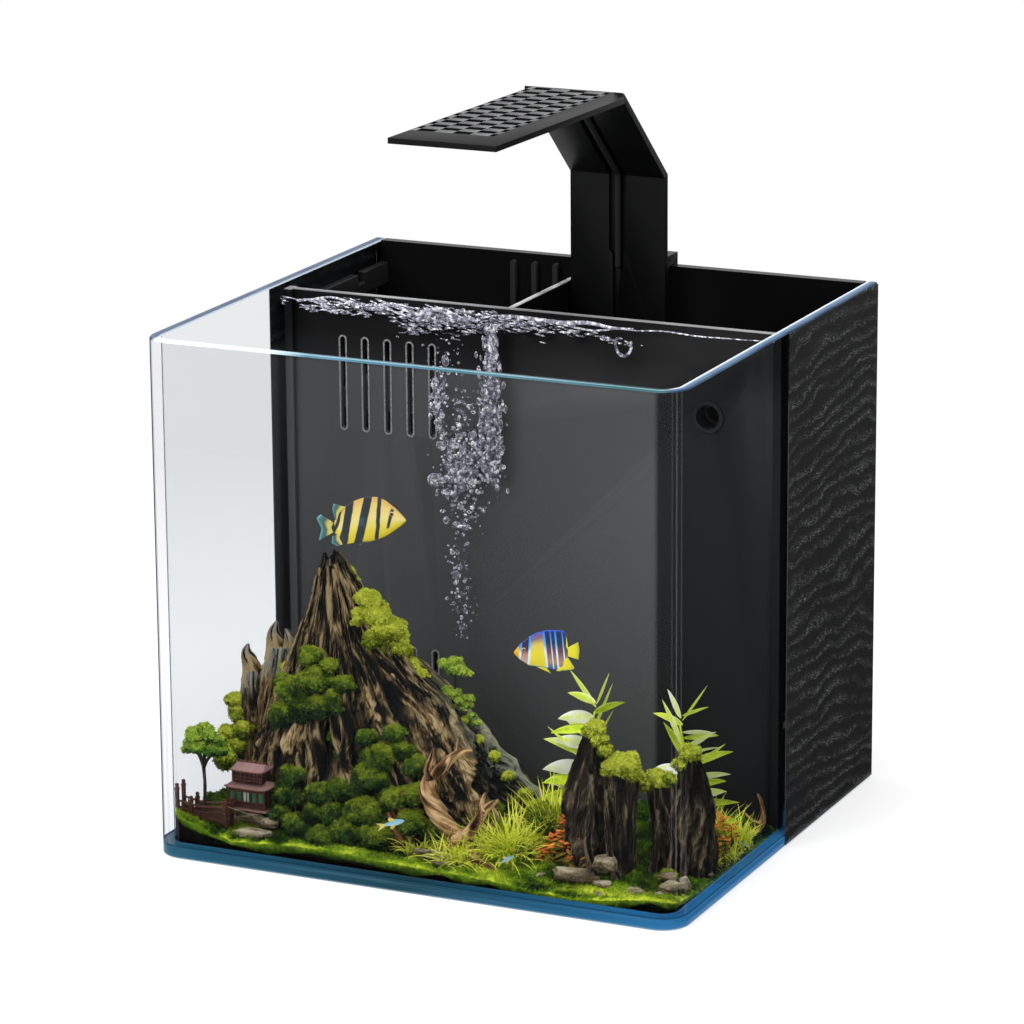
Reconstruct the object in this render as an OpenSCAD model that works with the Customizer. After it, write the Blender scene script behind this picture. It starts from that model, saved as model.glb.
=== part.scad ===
// Desktop nano aquarium: a bent-glass display tank with a rear filter chamber,
// a hang-on lamp and a planted rock landscape.
// Origin: centre of the tank's underside. +X right, +Y to the back, +Z up. Millimetres.

/* [Tank] */
// Outer width of the tank
tank_w = 300; // [292:1:330]
// Outer depth of the tank
tank_d = 274; // [268:1:300]
// Overall height of the glass above the table
tank_h = 279; // [272:1:310]
// Thickness of the side, front and back panes
glass_t = 6; // [5:0.5:7]
// Thickness of the base pane
base_t = 6; // [5:0.5:8]
// Outer radius of the two bent front corners
corner_r = 15; // [12:1:20]
// Thickness of the silicone in every seam
seam_t = 0.3; // [0.2:0.1:0.6]
// How far the silicone stays back from the edge of a pane
seam_inset = 0.5; // [0.2:0.1:1]

/* [Wood-grain skins] */
// Thickness of the skin on each side pane
skin_t = 0.6; // [0.4:0.1:1]
// Distance from the tank's front to the front edge of the skins
skin_from_front = 145; // [140:1:149]
// Glass left bare above and below each skin
skin_margin = 1; // [0.5:0.5:3]

/* [Weir panel] */
// Distance from the tank's front to the face of the weir panel
weir_from_front = 152; // [150:1:154]
// Thickness of the weir panel
weir_t = 3; // [2.5:0.5:4]
// How far the panel's top stays below the rim
weir_drop = 3.5; // [3:0.5:10]
// Number of overflow slots in each row
slot_count = 5; // [3:1:6]
// Distance from slot to slot
slot_pitch = 13.3; // [11:0.1:15]
// Distance from the left pane's inner face to the first slot
slot_from_left = 34; // [30:1:40]
// Width of a slot
slot_w = 3; // [2:0.5:4]
// Length of a slot
slot_h = 51; // [40:1:56]
// Width of the raised rim around a slot
slot_rim = 0.9; // [0.6:0.1:1.5]
// Height of that rim above the panel's face
slot_rim_h = 0.5; // [0.3:0.1:1]
// Distance from the tank's rim to the top of the upper slots
slot_drop = 27.5; // [24:0.5:34]
// Height of the lower slots' top above the base pane
low_slot_top = 75; // [64:1:90]
// Depth of the channels' grooves that hold the panel
channel_grip = 3; // [2:0.5:3.5]
// Thickness of the channels' web, which is bonded to the side pane
channel_wall = 1.2; // [1:0.1:1.4]
// Thickness of the channels' lips, before and behind the panel
channel_lip = 2; // [1.2:0.1:2.2]

/* [Rear chamber] */
// Distance from the left pane's inner face to the divider's middle
divider_from_left = 119; // [112:1:120]
// Thickness of the divider
divider_t = 3; // [2.5:0.5:3.5]
// How far the divider's top stays below the rim
divider_drop = 10.5; // [8:0.5:20]
// How deep the divider sits in its two rails
rail_grip = 2.6; // [2:0.2:3]
// Wall thickness of the rails
rail_wall = 1.2; // [1:0.1:1.4]
// Number of flow windows along the divider's foot
window_count = 5; // [3:1:6]
// Width of a flow window
window_w = 10; // [6:1:12]
// Height of a flow window
window_h = 18; // [12:1:24]
// Number of ribs on the back pane
rib_count = 3; // [2:1:4]
// Distance from rib to rib
rib_pitch = 12.8; // [10:0.2:14]
// Distance from the divider's middle to the nearest rib
rib_from_divider = 10.8; // [9:0.2:12]
// Width of a rib
rib_w = 3; // [2:0.5:4]
// How far a rib stands off the back pane
rib_depth = 3; // [2:0.2:3.4]
// How far the ribs' tops stay below the rim
rib_drop = 4; // [3:0.5:10]
// Height of the ribs' feet above the base pane
rib_foot = 54; // [40:1:80]
// Width of the ledge on the left pane
ledge_w = 4.7; // [3:0.1:5]
// Height of the ledge strip
ledge_h = 12; // [8:1:20]
// How far the ledge's top stays below the rim
ledge_drop = 12; // [10:1:16]
// Width of the notch in the ledge
ledge_notch = 8; // [4:1:12]

/* [Media basket] */
// Gap between the basket's handle and the ledge that it passes
basket_side_gap = 0.7; // [0.5:0.1:2]
// Gap between the basket and the chamber's front and back faces
basket_end_gap = 7; // [6:0.5:9]
// Height of the basket
basket_h = 196; // [180:1:210]
// Wall thickness of the basket
basket_wall = 2; // [1.6:0.2:3]
// Height of the runners that it stands on
foot_h = 8; // [5:1:12]
// Width of a runner
foot_w = 10; // [6:1:14]
// Size of a hole in the basket's floor
mesh_hole = 8; // [5:0.5:9]
// Distance from hole to hole
mesh_pitch = 12; // [11:0.5:14]
// Outer radius of a ceramic ring
ring_r = 10.5; // [8:0.5:11]
// Bore radius of a ceramic ring
ring_bore_r = 4; // [3:0.5:5]
// Height of a ceramic ring
ring_h = 28; // [20:1:30]
// Thickness of the carbon bag
carbon_h = 26; // [20:1:30]
// Thickness of the coarse sponge
sponge_h = 50; // [40:1:54]
// Thickness of the fine pad
pad_h = 25; // [15:1:28]
// Radius of the handle's pivot pins
pin_r = 2; // [1.5:0.1:2.4]
// Thickness of the handle's arms
bail_t = 3; // [2.4:0.2:3.6]
// How far the handle's bar stays in from the basket's back edge
bail_inset = 6.7; // [5:0.1:15]
// Depth of the pivot below the basket's rim
pivot_drop = 8; // [6:0.5:9]

/* [Pump and return pipe] */
// Distance from the right pane's inner face to the return hole
return_from_right = 41.6; // [41:0.2:45]
// Distance from the tank's rim to the return hole's centre
return_drop = 51.3; // [46:0.1:60]
// Bore radius at the mouth of the return nozzle
nozzle_bore_r = 6.5; // [6:0.1:6.8]
// Outer radius of the return nozzle
nozzle_r = 8.6; // [8.2:0.1:9.4]
// Length of the nozzle behind the weir panel
nozzle_tail = 16; // [14:1:20]
// Depth of the nozzle's free mouth
nozzle_mouth = 12; // [10:1:13]
// Thickness of the rubber seal around the nozzle, behind the panel
seal_t = 2.5; // [1.5:0.1:4]
// Width of that seal's ring
seal_wall = 2.5; // [1.5:0.1:3]
// How far the nozzle stands proud of the panel
nozzle_proud = 0.8; // [0.5:0.1:1.5]
// Outer radius of the riser pipe
pipe_r = 7; // [6.9:0.1:7.2]
// Bore radius of the riser pipe
pipe_bore_r = 5.2; // [4.5:0.1:5.8]
// Bend radius of the elbow at its centre line
bend_r = 16; // [14:1:18]
// Distance from the weir panel's back to the pump's axis
pump_from_weir = 42; // [40:1:46]
// Half the width of the motor housing
motor_half = 22; // [22:0.5:23]
// Length of the motor housing
motor_len = 54; // [52:1:58]
// Height of the suction cups
cup_h = 6; // [4:0.5:8]
// Radius of the volute's cavity
volute_r = 18; // [18:0.5:19]
// Width of the volute's cavity
volute_w = 14; // [13:0.5:15]
// Radius of the rotor magnet
magnet_r = 9; // [8:0.5:10]
// Length of the rotor magnet
magnet_len = 28; // [24:1:29]
// Radius of the rotor's ceramic shaft
shaft_r = 1.5; // [1.2:0.1:2]
// Radius of the impeller
impeller_r = 15; // [13:0.5:16]
// Number of impeller blades
blade_count = 6; // [4:1:8]
// Depth of the intake grille
intake_len = 17; // [14:1:17]

/* [Lamp] */
// Gap between the divider's face and the edge of the mast beside it
mast_gap = 1.8; // [1.2:0.1:8]
// Width of the mast and the arm
mast_w = 56; // [48:1:58]
// Thickness of the mast and the arm
mast_t = 4; // [3.6:0.1:5]
// Distance from the mast's back to the back pane
mast_standoff = 9; // [8:0.5:10]
// Depth of the mast's foot below the rim
mast_below = 54; // [46:1:70]
// Height of the fold above the rim
fold_rise = 51; // [45:1:60]
// How far the arm reaches forward
arm_reach = 56; // [50:1:60]
// How far the arm climbs
arm_rise = 51; // [46:1:56]
// Radius of the bend between the arm and the lamp head
elbow_r = 8; // [6:0.5:9]
// Width of the lamp head
head_w = 60; // [60:1:70]
// Length of the lamp head
head_len = 164; // [140:1:170]
// Thickness of the head's rim
head_rim = 3; // [2.8:0.1:3.5]
// Thickness of the head at its patterned field
head_t = 5.6; // [5.4:0.1:6.5]
// Width of the bevel along each side
side_bevel = 7; // [5:0.5:9]
// Width of the bevel at the front
front_bevel = 11.7; // [8:0.1:14]
// Upward tilt of the head
head_tilt = 0.9; // [0:0.1:2]
// Width of a cell of the pattern
cell_w = 10; // [8:0.5:11]
// Length of a cell of the pattern
cell_l = 7; // [6:0.5:8]
// Depth of the sunken cells
cell_depth = 1.4; // [0.8:0.1:1.5]
// How far a sunken cell stays in from its neighbours' lines
cell_land = 0.15; // [0.1:0.05:0.4]
// How far the light tray hangs below the head
tray_drop = 1.5; // [1.2:0.1:2]
// Width of the light tray
tray_w = 50; // [44:1:51]
// Width of the tray's frame around the window
tray_frame = 5; // [4.6:0.1:6]
// Thickness of the diffuser
diffuser_t = 1; // [0.8:0.1:1.1]
// Thickness of the light's circuit board
board_t = 1.2; // [1:0.1:1.2]
// Size of a light chip
chip_size = 3; // [2:0.5:3.5]
// Number of light chips along the board
chip_cols = 12; // [8:1:14]
// Number of rows of light chips
chip_rows = 3; // [2:1:4]
// Width of the lead's groove in the arm and the mast
groove_w = 10; // [8:0.5:12]
// Depth of that groove
groove_d = 2.2; // [2:0.1:2.3]
// Width of the groove below the tank's rim
low_groove_w = 6; // [5:0.5:8]
// Radius of the lead
lead_r = 1.6; // [1.2:0.1:1.7]
// How far the hook stays in from each edge of the mast
hook_inset = 2; // [1:0.5:4]
// Height of the hook above the rim
hook_rise = 6; // [5:0.5:8]
// Thickness of the hook's outer leg
hook_leg = 3.7; // [3:0.1:4]
// Depth of the hook's outer leg below the rim
hook_drop = 21; // [15:1:30]
// Wall thickness of the hook's gussets and mounting plate
hook_wall = 2.5; // [2:0.1:3]
// How far the gussets reach down the mast below the rim
gusset_drop = 8.5; // [8:0.5:12]
// Outer radius of the power socket in the hook
socket_r = 2.2; // [1.8:0.1:2.3]
// Length of the power socket
socket_len = 12; // [8:1:16]

/* [Landscape] */
// Height of the planted bed above the base pane, in its middle
bed_h = 9; // [7:0.5:12]
// How far the bed climbs at the left pane
bed_climb = 8; // [4:0.5:10]
// How far the bed falls at the right pane
bed_fall = 6; // [2:0.5:6]
// Height of the main rock above the base pane
peak_h = 148; // [120:1:160]
// Radius of the main rock's blunt top
peak_r = 5; // [3:0.5:6]
// Height of the large rock at the right front
crag_h = 84; // [60:1:95]
// Height of the small rock at the right front
knoll_h = 71; // [50:1:80]
// Radius of the blunt tops of the rocks at the right front
crag_r = 4; // [3:0.5:5]
// Height of the driftwood above the base pane
wood_h = 66; // [50:1:75]
// Radius of the driftwood at its foot
wood_r = 5; // [3.5:0.5:5.5]
// Height of the pagoda
pagoda_h = 29; // [24:1:34]
// Width of the pagoda's lower roof
pagoda_w = 25; // [20:1:26]
// Depth of the pagoda's lower roof
pagoda_d = 17; // [13:1:18]
// Height of the stone plinth under the pagoda, above the bed
plinth_h = 5; // [3:0.5:7]
// Radius of that plinth
plinth_r = 7.5; // [6:0.5:8]
// Length of the footbridge
bridge_l = 31; // [26:1:31]
// Width of the footbridge
bridge_w = 8; // [6:0.5:8]
// Height of the footbridge's deck above the bed
bridge_h = 7; // [5:0.5:9]
// Height of its railing
railing_h = 8; // [6:0.5:10]
// Radius of the arch under the bridge
arch_r = 8.5; // [6:0.5:9]
// Height of the small tree up to the middle of its crown
tree_h = 55; // [40:1:60]
// Radius of the small tree's crown
crown_r = 10; // [7:0.5:11]
// Radius of the small tree's trunk
trunk_r = 1.2; // [1:0.1:2]
// Radius of the largest stones
stone_r = 8.5; // [6:0.5:9]
// Height of the largest stones above the bed
stone_h = 6; // [4:0.5:8]
// Height of the broad-leaved plants above the base pane
leafy_h = 88; // [60:1:100]
// Radius of their leaves' spread
leafy_r = 12; // [8:0.5:14]
// Height of the tallest grass and red plants above the base pane
grass_h = 40; // [24:1:48]
// Radius of the widest clump of grass
grass_r = 7.5; // [5:0.5:8]

/* [Fits] */
// Gap between still pieces that lie loosely beside each other
loose = 0.3; // [0.2:0.05:0.35]
// Gap between a piece that lifts out and its seat
lift_gap = 0.2; // [0.1:0.05:0.3]
// Radial clearance of a turning pin or shaft
running = 0.05; // [0.03:0.01:0.09]
// Radial clearance of pieces pushed together
push_fit = 0.05; // [0.03:0.01:0.1]

/* [Hidden] */
$fn = 48;
eps = 0.01;

// Faces of the tank
front_y = -tank_d / 2;
back_y = tank_d / 2;
in_x = tank_w / 2 - glass_t;
in_front = front_y + glass_t;
pane_in = back_y - glass_t;
weir_front = front_y + weir_from_front;
weir_back = weir_front + weir_t;

// Weir panel and its channels
weir_top = tank_h - weir_drop;
weir_half = in_x - channel_wall - loose;
slot_x0 = -in_x + slot_from_left;
channel_depth = weir_t + 2 * loose + 2 * channel_lip;
channel_w = channel_wall + channel_grip + loose;
channel_mid = weir_front + weir_t / 2;

// Divider and its rails
divider_x = -in_x + divider_from_left;
divider_top = tank_h - divider_drop;
rail_w = divider_t + 2 * loose + 2 * rail_wall;
rail_depth = rail_grip + loose + rail_wall;
rail_top = divider_top - 6;

// Media basket
bail_gap = 0.6;
side_room = ledge_w + basket_side_gap + bail_t + bail_gap;
basket_x0 = -in_x + side_room;
basket_x1 = divider_x - divider_t / 2 - side_room;
basket_y0 = weir_back + basket_end_gap;
basket_y1 = pane_in - basket_end_gap;
basket_z0 = base_t + foot_h + lift_gap;
basket_z1 = basket_z0 + basket_h;
basket_mid_x = (basket_x0 + basket_x1) / 2;
basket_mid_y = (basket_y0 + basket_y1) / 2;
inner_x = basket_x1 - basket_x0 - 2 * basket_wall - 2 * loose;
inner_y = basket_y1 - basket_y0 - 2 * basket_wall - 2 * loose;
floor_t = basket_wall + 0.5;
media_z0 = basket_z0 + floor_t + lift_gap;
ring_layers = 2;
rings_top = media_z0 + ring_layers * (ring_h + lift_gap);
carbon_z = rings_top;
sponge_z = carbon_z + carbon_h + lift_gap;
pad_z = sponge_z + sponge_h + lift_gap;
pivot_z = basket_z1 - pivot_drop;
bail_bar_r = bail_t / 2;
bail_rise = pivot_drop + bail_bar_r + loose;
bail_run = (basket_y1 - basket_y0) / 2 - bail_inset;
bail_rest = atan2(bail_rise, bail_run);
bail_len = norm([bail_rise, bail_run]);

// Pump and pipe
return_x = in_x - return_from_right;
return_z = tank_h - return_drop;
pump_y = weir_back + pump_from_weir;
pump_z = base_t + cup_h + motor_half;
volute_half = volute_w / 2;
pump_wall = 3;
volute_back = return_x - volute_half;
volute_front = return_x + volute_half;
motor_x0 = volute_back - pump_wall - motor_len;
bush_len = 3;
bush_r = shaft_r + 2.2;
magnet_x1 = volute_back + 1;
magnet_x0 = magnet_x1 - magnet_len;
bore_end = magnet_x0 - 1 - bush_len;
cover_t = 2.5;
cover_r = volute_r + pump_wall + 1;
cover_boss = 3;
intake_x0 = volute_front + cover_t;
intake_x1 = intake_x0 + intake_len;
dial_pin_r = 3;
dial_t = 2.4;
boss_h = 12;
socket_depth = 10;
boss_top = pump_z + volute_r + pump_wall + boss_h;
riser_z0 = boss_top - socket_depth + loose;
riser_z1 = return_z - bend_r - loose;
elbow_y0 = pump_y - bend_r;
nozzle_step = weir_front - nozzle_proud + nozzle_mouth;
nozzle_end = weir_back + nozzle_tail;

// Lamp
lamp_x = divider_x + divider_t / 2 + mast_gap + mast_w / 2;
mast_back = pane_in - mast_standoff;
mast_front = mast_back - mast_t;
fold_z = tank_h + fold_rise;
mast_z0 = tank_h - mast_below;
arm_angle = atan2(arm_rise, arm_reach);
arm_len = norm([arm_rise, arm_reach]);
arm_n = [sin(arm_angle), cos(arm_angle)];
head_y = mast_front - arm_reach;
head_z = fold_z + arm_rise;
elbow_run = elbow_r * tan(arm_angle / 2);
elbow_shift = mast_t * arm_n[0] - (head_t - mast_t * arm_n[1]) / tan(arm_angle);
head_back = elbow_run - elbow_shift;
head_end = -head_back - head_t * sin(head_tilt);
miter_z = fold_z + mast_t * tan((90 - arm_angle) / 2);
field_w = head_w - 2 * side_bevel;
field_y0 = -head_len + front_bevel;
wall_over = 0.9;
pocket_depth = head_t - cell_depth - wall_over - 0.7;
tray_y0 = -head_len + 9;
tray_y1 = -20;
window_y0 = tray_y0 + tray_frame + 1;
window_y1 = tray_y1 - tray_frame - 1;
board_z = pocket_depth - board_t - push_fit;
board_w = tray_w - 2 * tray_frame - 2 * lift_gap;
screw_r = 1.2;
screw_head_r = 2.2;
screw_bite = mast_t - 1.5;
hook_w = mast_w - 2 * hook_inset;
hook_x0 = lamp_x - hook_w / 2;
hook_top = tank_h + hook_rise;
hook_cap = 3;
hook_back = back_y + loose + hook_leg;
hook_plate_h = 26;
bumper_r = 5;
socket_y = mast_back + hook_wall + socket_r + lift_gap;
lead_exit_z = hook_top - hook_cap - socket_r - loose;
lead_lift = groove_d - lead_r - push_fit;

// Landscape, measured from the inner faces of the glass
bed_half = in_x - loose;
bed_front = in_front + loose;
bed_back = channel_mid - channel_depth / 2 - loose;
bed_top = base_t + bed_h;

// ---------------------------------------------------------------- shared shapes

// Plan of the tank set in by a margin: round front corners, square at the back
module tank_plan(inset, back) {
    r = corner_r - inset;
    half = tank_w / 2 - inset;
    front = front_y + inset;
    translate([-half, front + r]) square([2 * half, back - front - r]);
    translate([-half + r, front]) square([2 * (half - r), r + eps]);
    for (side = [-1, 1]) translate([side * (half - r), front + r]) circle(r);
}

// A shape drawn in X and Z, made solid from the face at y towards the back
module slab_y(y, depth) {
    translate([0, y + depth, 0]) rotate([90, 0, 0]) linear_extrude(depth) children();
}

// A shape drawn in Y and Z, made solid from the face at x towards the right
module slab_x(x, depth) {
    translate([x, 0, 0]) rotate([90, 0, 90]) linear_extrude(depth) children();
}

// Upright slot with round ends
module slot_shape(w, h) {
    translate([-w / 2, w / 2]) square([w, h - w]);
    for (z = [w / 2, h - w / 2]) translate([0, z]) circle(w / 2);
}

// Rod between two points
module rod(a, b, r) {
    v = b - a;
    translate(a) rotate([0, acos(v[2] / norm(v)), atan2(v[1], v[0])]) cylinder(h = norm(v), r = r);
}

// Bar along X
module bar_x(x, len, r) {
    translate([x, 0, 0]) rotate([0, 90, 0]) cylinder(h = len, r = r);
}

// ---------------------------------------------------------------- tank

module base_glass() {
    color([0.45, 0.7, 0.85, 0.6]) linear_extrude(base_t) tank_plan(0, back_y);
}

module glass_shell() {
    z0 = base_t + seam_t;
    color([0.8, 0.92, 0.95, 0.35]) difference() {
        translate([0, 0, z0]) linear_extrude(tank_h - z0) tank_plan(0, back_y);
        translate([0, 0, z0 - 1]) linear_extrude(tank_h) tank_plan(glass_t, back_y + 1);
    }
}

module back_pane() {
    half = in_x - seam_t;
    z0 = base_t + seam_t;
    color([0.08, 0.08, 0.09]) translate([-half, pane_in, z0]) cube([2 * half, glass_t, tank_h - z0]);
}

module silicone_seams() {
    run = glass_t - 2 * seam_inset;
    color([0.85, 0.9, 0.92]) {
        translate([0, 0, base_t]) linear_extrude(seam_t) difference() {
            tank_plan(seam_inset, back_y - seam_inset);
            tank_plan(glass_t - seam_inset, pane_in + seam_inset);
        }
        for (side = [-1, 1])
            translate([side > 0 ? in_x - seam_t : -in_x, pane_in + seam_inset, base_t + seam_t])
                cube([seam_t, run, tank_h - base_t - seam_t - seam_inset]);
    }
}

module wood_skin(side) {
    len = tank_d - skin_from_front;
    x = side > 0 ? tank_w / 2 : -tank_w / 2 - skin_t;
    color([0.13, 0.13, 0.14])
        translate([x, front_y + skin_from_front, skin_margin])
            cube([skin_t, len, tank_h - 2 * skin_margin]);
}

module wood_skin_left() {
    wood_skin(-1);
}

module wood_skin_right() {
    wood_skin(1);
}

// ---------------------------------------------------------------- weir panel

module slot_row(top, grow) {
    for (i = [0 : slot_count - 1])
        translate([slot_x0 + i * slot_pitch, top - slot_h - grow])
            slot_shape(slot_w + 2 * grow, slot_h + 2 * grow);
}

module all_slots(grow) {
    slot_row(tank_h - slot_drop, grow);
    slot_row(base_t + low_slot_top, grow);
}

module weir_panel() {
    hole_r = nozzle_r + 2 * push_fit;
    color([0.14, 0.14, 0.15]) difference() {
        union() {
            translate([-weir_half, weir_front, base_t]) cube([2 * weir_half, weir_t, weir_top - base_t]);
            slab_y(weir_front - slot_rim_h, slot_rim_h + eps) all_slots(slot_rim);
        }
        slab_y(weir_front - 1, weir_t + 2) all_slots(0);
        slab_y(weir_front - 1, weir_t + 2) translate([return_x, return_z]) circle(hole_r);
    }
}

module weir_channels() {
    color([0.1, 0.1, 0.11]) for (side = [0, 1]) mirror([side, 0, 0]) difference() {
        translate([in_x - channel_w, channel_mid - channel_depth / 2, base_t])
            cube([channel_w, channel_depth, weir_top - base_t]);
        translate([in_x - channel_w - 1, weir_front - loose, base_t - 1])
            cube([channel_grip + loose + 1, weir_t + 2 * loose, weir_top]);
    }
}

// ---------------------------------------------------------------- rear chamber

module divider_rail() {
    difference() {
        translate([divider_x - rail_w / 2, 0, base_t]) cube([rail_w, rail_depth, rail_top - base_t]);
        translate([divider_x - divider_t / 2 - loose, rail_wall, base_t - 1])
            cube([divider_t + 2 * loose, rail_depth, rail_top]);
    }
}

module divider_rails() {
    color([0.1, 0.1, 0.11]) {
        translate([0, weir_back, 0]) divider_rail();
        translate([0, pane_in, 0]) mirror([0, 1, 0]) divider_rail();
    }
}

module chamber_divider() {
    y0 = weir_back + rail_wall + loose;
    y1 = pane_in - rail_wall - loose;
    z0 = base_t + lift_gap;
    pitch = (y1 - y0 - 2 * rail_grip) / window_count;
    color([0.16, 0.16, 0.17]) difference() {
        translate([divider_x - divider_t / 2, y0, z0]) cube([divider_t, y1 - y0, divider_top - z0]);
        for (i = [0 : window_count - 1])
            translate([divider_x - divider_t, y0 + rail_grip + (i + 0.5) * pitch - window_w / 2, z0 + 6])
                cube([2 * divider_t, window_w, window_h]);
    }
}

module rib_comb() {
    z0 = base_t + rib_foot;
    h = tank_h - rib_drop - z0;
    bar_t = rib_depth / 2;
    x_last = divider_x - rib_from_divider;
    x_first = x_last - (rib_count - 1) * rib_pitch;
    color([0.16, 0.16, 0.17]) {
        for (i = [0 : rib_count - 1])
            slab_y(pane_in - rib_depth, rib_depth)
                translate([x_first + i * rib_pitch, z0]) slot_shape(rib_w, h);
        for (z = [z0 + 12, z0 + h / 2])
            translate([x_first, pane_in - bar_t, z]) cube([x_last - x_first, bar_t, 6]);
    }
}

module wall_ledge() {
    y0 = channel_mid + channel_depth / 2 + loose;
    z1 = tank_h - ledge_drop;
    color([0.12, 0.12, 0.13]) difference() {
        translate([-in_x, y0, z1 - ledge_h]) cube([ledge_w, pane_in - y0, ledge_h]);
        translate([-in_x - 1, pane_in - 30 - ledge_notch, z1 - ledge_h / 2])
            cube([ledge_w + 2, ledge_notch, ledge_h]);
    }
}

// ---------------------------------------------------------------- media basket

module basket_feet() {
    color([0.12, 0.12, 0.13]) for (y = [basket_y0 + foot_w, basket_y1 - 2 * foot_w])
        translate([basket_x0, y, base_t]) cube([basket_x1 - basket_x0, foot_w, foot_h]);
}

module basket_mesh(span_x, span_y) {
    nx = floor(span_x / mesh_pitch);
    ny = floor(span_y / mesh_pitch);
    for (i = [0 : nx - 1], j = [0 : ny - 1])
        translate([(i - (nx - 1) / 2) * mesh_pitch, (j - (ny - 1) / 2) * mesh_pitch])
            square(mesh_hole, center = true);
}

module media_basket() {
    size_x = basket_x1 - basket_x0;
    size_y = basket_y1 - basket_y0;
    color([0.2, 0.2, 0.21]) difference() {
        translate([basket_x0, basket_y0, basket_z0]) cube([size_x, size_y, basket_h]);
        translate([basket_x0 + basket_wall, basket_y0 + basket_wall, basket_z0 + floor_t])
            cube([size_x - 2 * basket_wall, size_y - 2 * basket_wall, basket_h]);
        translate([basket_mid_x, basket_mid_y, basket_z0 - 1]) linear_extrude(floor_t + 2)
            basket_mesh(size_x - 4 * basket_wall, size_y - 4 * basket_wall);
        translate([0, basket_mid_y, pivot_z]) bar_x(basket_x0 - 1, size_x + 2, pin_r + running);
    }
}

module basket_handle() {
    size_x = basket_x1 - basket_x0;
    arm_x0 = basket_x0 - bail_gap - bail_t;
    arm_x1 = basket_x1 + bail_gap;
    pin_len = bail_gap + basket_wall;
    color([0.55, 0.57, 0.6]) translate([0, basket_mid_y, pivot_z]) rotate([bail_rest, 0, 0]) {
        for (x = [arm_x0, arm_x1]) {
            translate([x, 0, -bail_t / 2]) cube([bail_t, bail_len, bail_t]);
            bar_x(x, bail_t, pin_r + 1);
        }
        bar_x(arm_x0 + bail_t, pin_len, pin_r);
        bar_x(arm_x1 - pin_len, pin_len, pin_r);
        translate([0, bail_len, 0]) bar_x(arm_x0, arm_x1 + bail_t - arm_x0, bail_bar_r);
    }
}

// A block of filter media as wide as the basket's inside
module media_block(z, h) {
    translate([basket_mid_x - inner_x / 2, basket_mid_y - inner_y / 2, z]) cube([inner_x, inner_y, h]);
}

module coarse_sponge() {
    color([0.15, 0.2, 0.35]) media_block(sponge_z, sponge_h);
}

module fine_pad() {
    color([0.93, 0.94, 0.94]) media_block(pad_z, pad_h);
}

module carbon_bag() {
    color([0.2, 0.2, 0.2]) media_block(carbon_z, carbon_h);
}

module ceramic_rings() {
    pitch = 2 * ring_r + loose;
    nx = floor(inner_x / pitch);
    ny = floor(inner_y / pitch);
    color([0.88, 0.82, 0.74])
        for (i = [0 : nx - 1], j = [0 : ny - 1], k = [0 : ring_layers - 1])
            translate([
                basket_mid_x + (i - (nx - 1) / 2) * pitch,
                basket_mid_y + (j - (ny - 1) / 2) * pitch,
                media_z0 + k * (ring_h + lift_gap)])
                difference() {
                    cylinder(h = ring_h, r = ring_r);
                    translate([0, 0, -1]) cylinder(h = ring_h + 2, r = ring_bore_r);
                }
}

// ---------------------------------------------------------------- pump

module on_pump_axis() {
    translate([0, pump_y, pump_z]) children();
}

module pump_housing() {
    volute_out = volute_r + pump_wall;
    pocket_len = bore_end - pump_wall - motor_x0;
    color([0.1, 0.1, 0.12]) on_pump_axis() difference() {
        union() {
            translate([motor_x0, -motor_half, -motor_half])
                cube([motor_len + pump_wall, 2 * motor_half, 2 * motor_half]);
            bar_x(volute_back - pump_wall, volute_w + pump_wall, volute_out);
            translate([return_x, 0, 0]) cylinder(h = volute_out + boss_h, r = pipe_r + pump_wall);
        }
        bar_x(volute_back, volute_w + 1, volute_r);
        bar_x(volute_front, cover_t + intake_len, cover_r + loose);
        bar_x(bore_end, volute_back - bore_end + 1, magnet_r + loose);
        translate([motor_x0 - 1, -motor_half + pump_wall, -motor_half + pump_wall])
            cube([pocket_len + 1, 2 * (motor_half - pump_wall), 2 * (motor_half - pump_wall)]);
        translate([return_x, 0, 0]) cylinder(h = volute_out + boss_h + 1, r = pipe_bore_r);
        translate([return_x, 0, volute_out + boss_h - socket_depth])
            cylinder(h = socket_depth + 1, r = pipe_r + push_fit);
    }
}

module stator_block() {
    side = 2 * (motor_half - pump_wall - lift_gap);
    len = bore_end - pump_wall - motor_x0 - lift_gap;
    color([0.35, 0.3, 0.25]) on_pump_axis()
        translate([motor_x0, -side / 2, -side / 2]) cube([len, side, side]);
}

module rotor_magnet() {
    color([0.25, 0.25, 0.27]) on_pump_axis() difference() {
        bar_x(magnet_x0, magnet_len, magnet_r);
        bar_x(magnet_x0 - 1, magnet_len + 2, shaft_r + running);
    }
}

module impeller() {
    hub_r = shaft_r + 2.5;
    disc_t = 1.5;
    disc_x = magnet_x1 + 1;
    blade_x1 = volute_front - cover_boss - 1;
    color([0.9, 0.9, 0.88]) on_pump_axis() difference() {
        union() {
            bar_x(magnet_x1, blade_x1 - magnet_x1, hub_r);
            bar_x(disc_x, disc_t, impeller_r);
            for (i = [0 : blade_count - 1]) rotate([i * 360 / blade_count, 0, 0])
                translate([disc_x, -0.6, 0]) cube([blade_x1 - disc_x, 1.2, impeller_r]);
        }
        bar_x(magnet_x1 - 1, blade_x1 - magnet_x1 + 2, shaft_r + running);
    }
}

module impeller_shaft() {
    x0 = bore_end + lift_gap;
    color([0.95, 0.95, 0.96]) on_pump_axis() bar_x(x0, volute_front - lift_gap - x0, shaft_r);
}

module shaft_bush(x) {
    difference() {
        bar_x(x, bush_len - lift_gap, bush_r);
        bar_x(x - 1, bush_len + 2, shaft_r + push_fit);
    }
}

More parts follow.
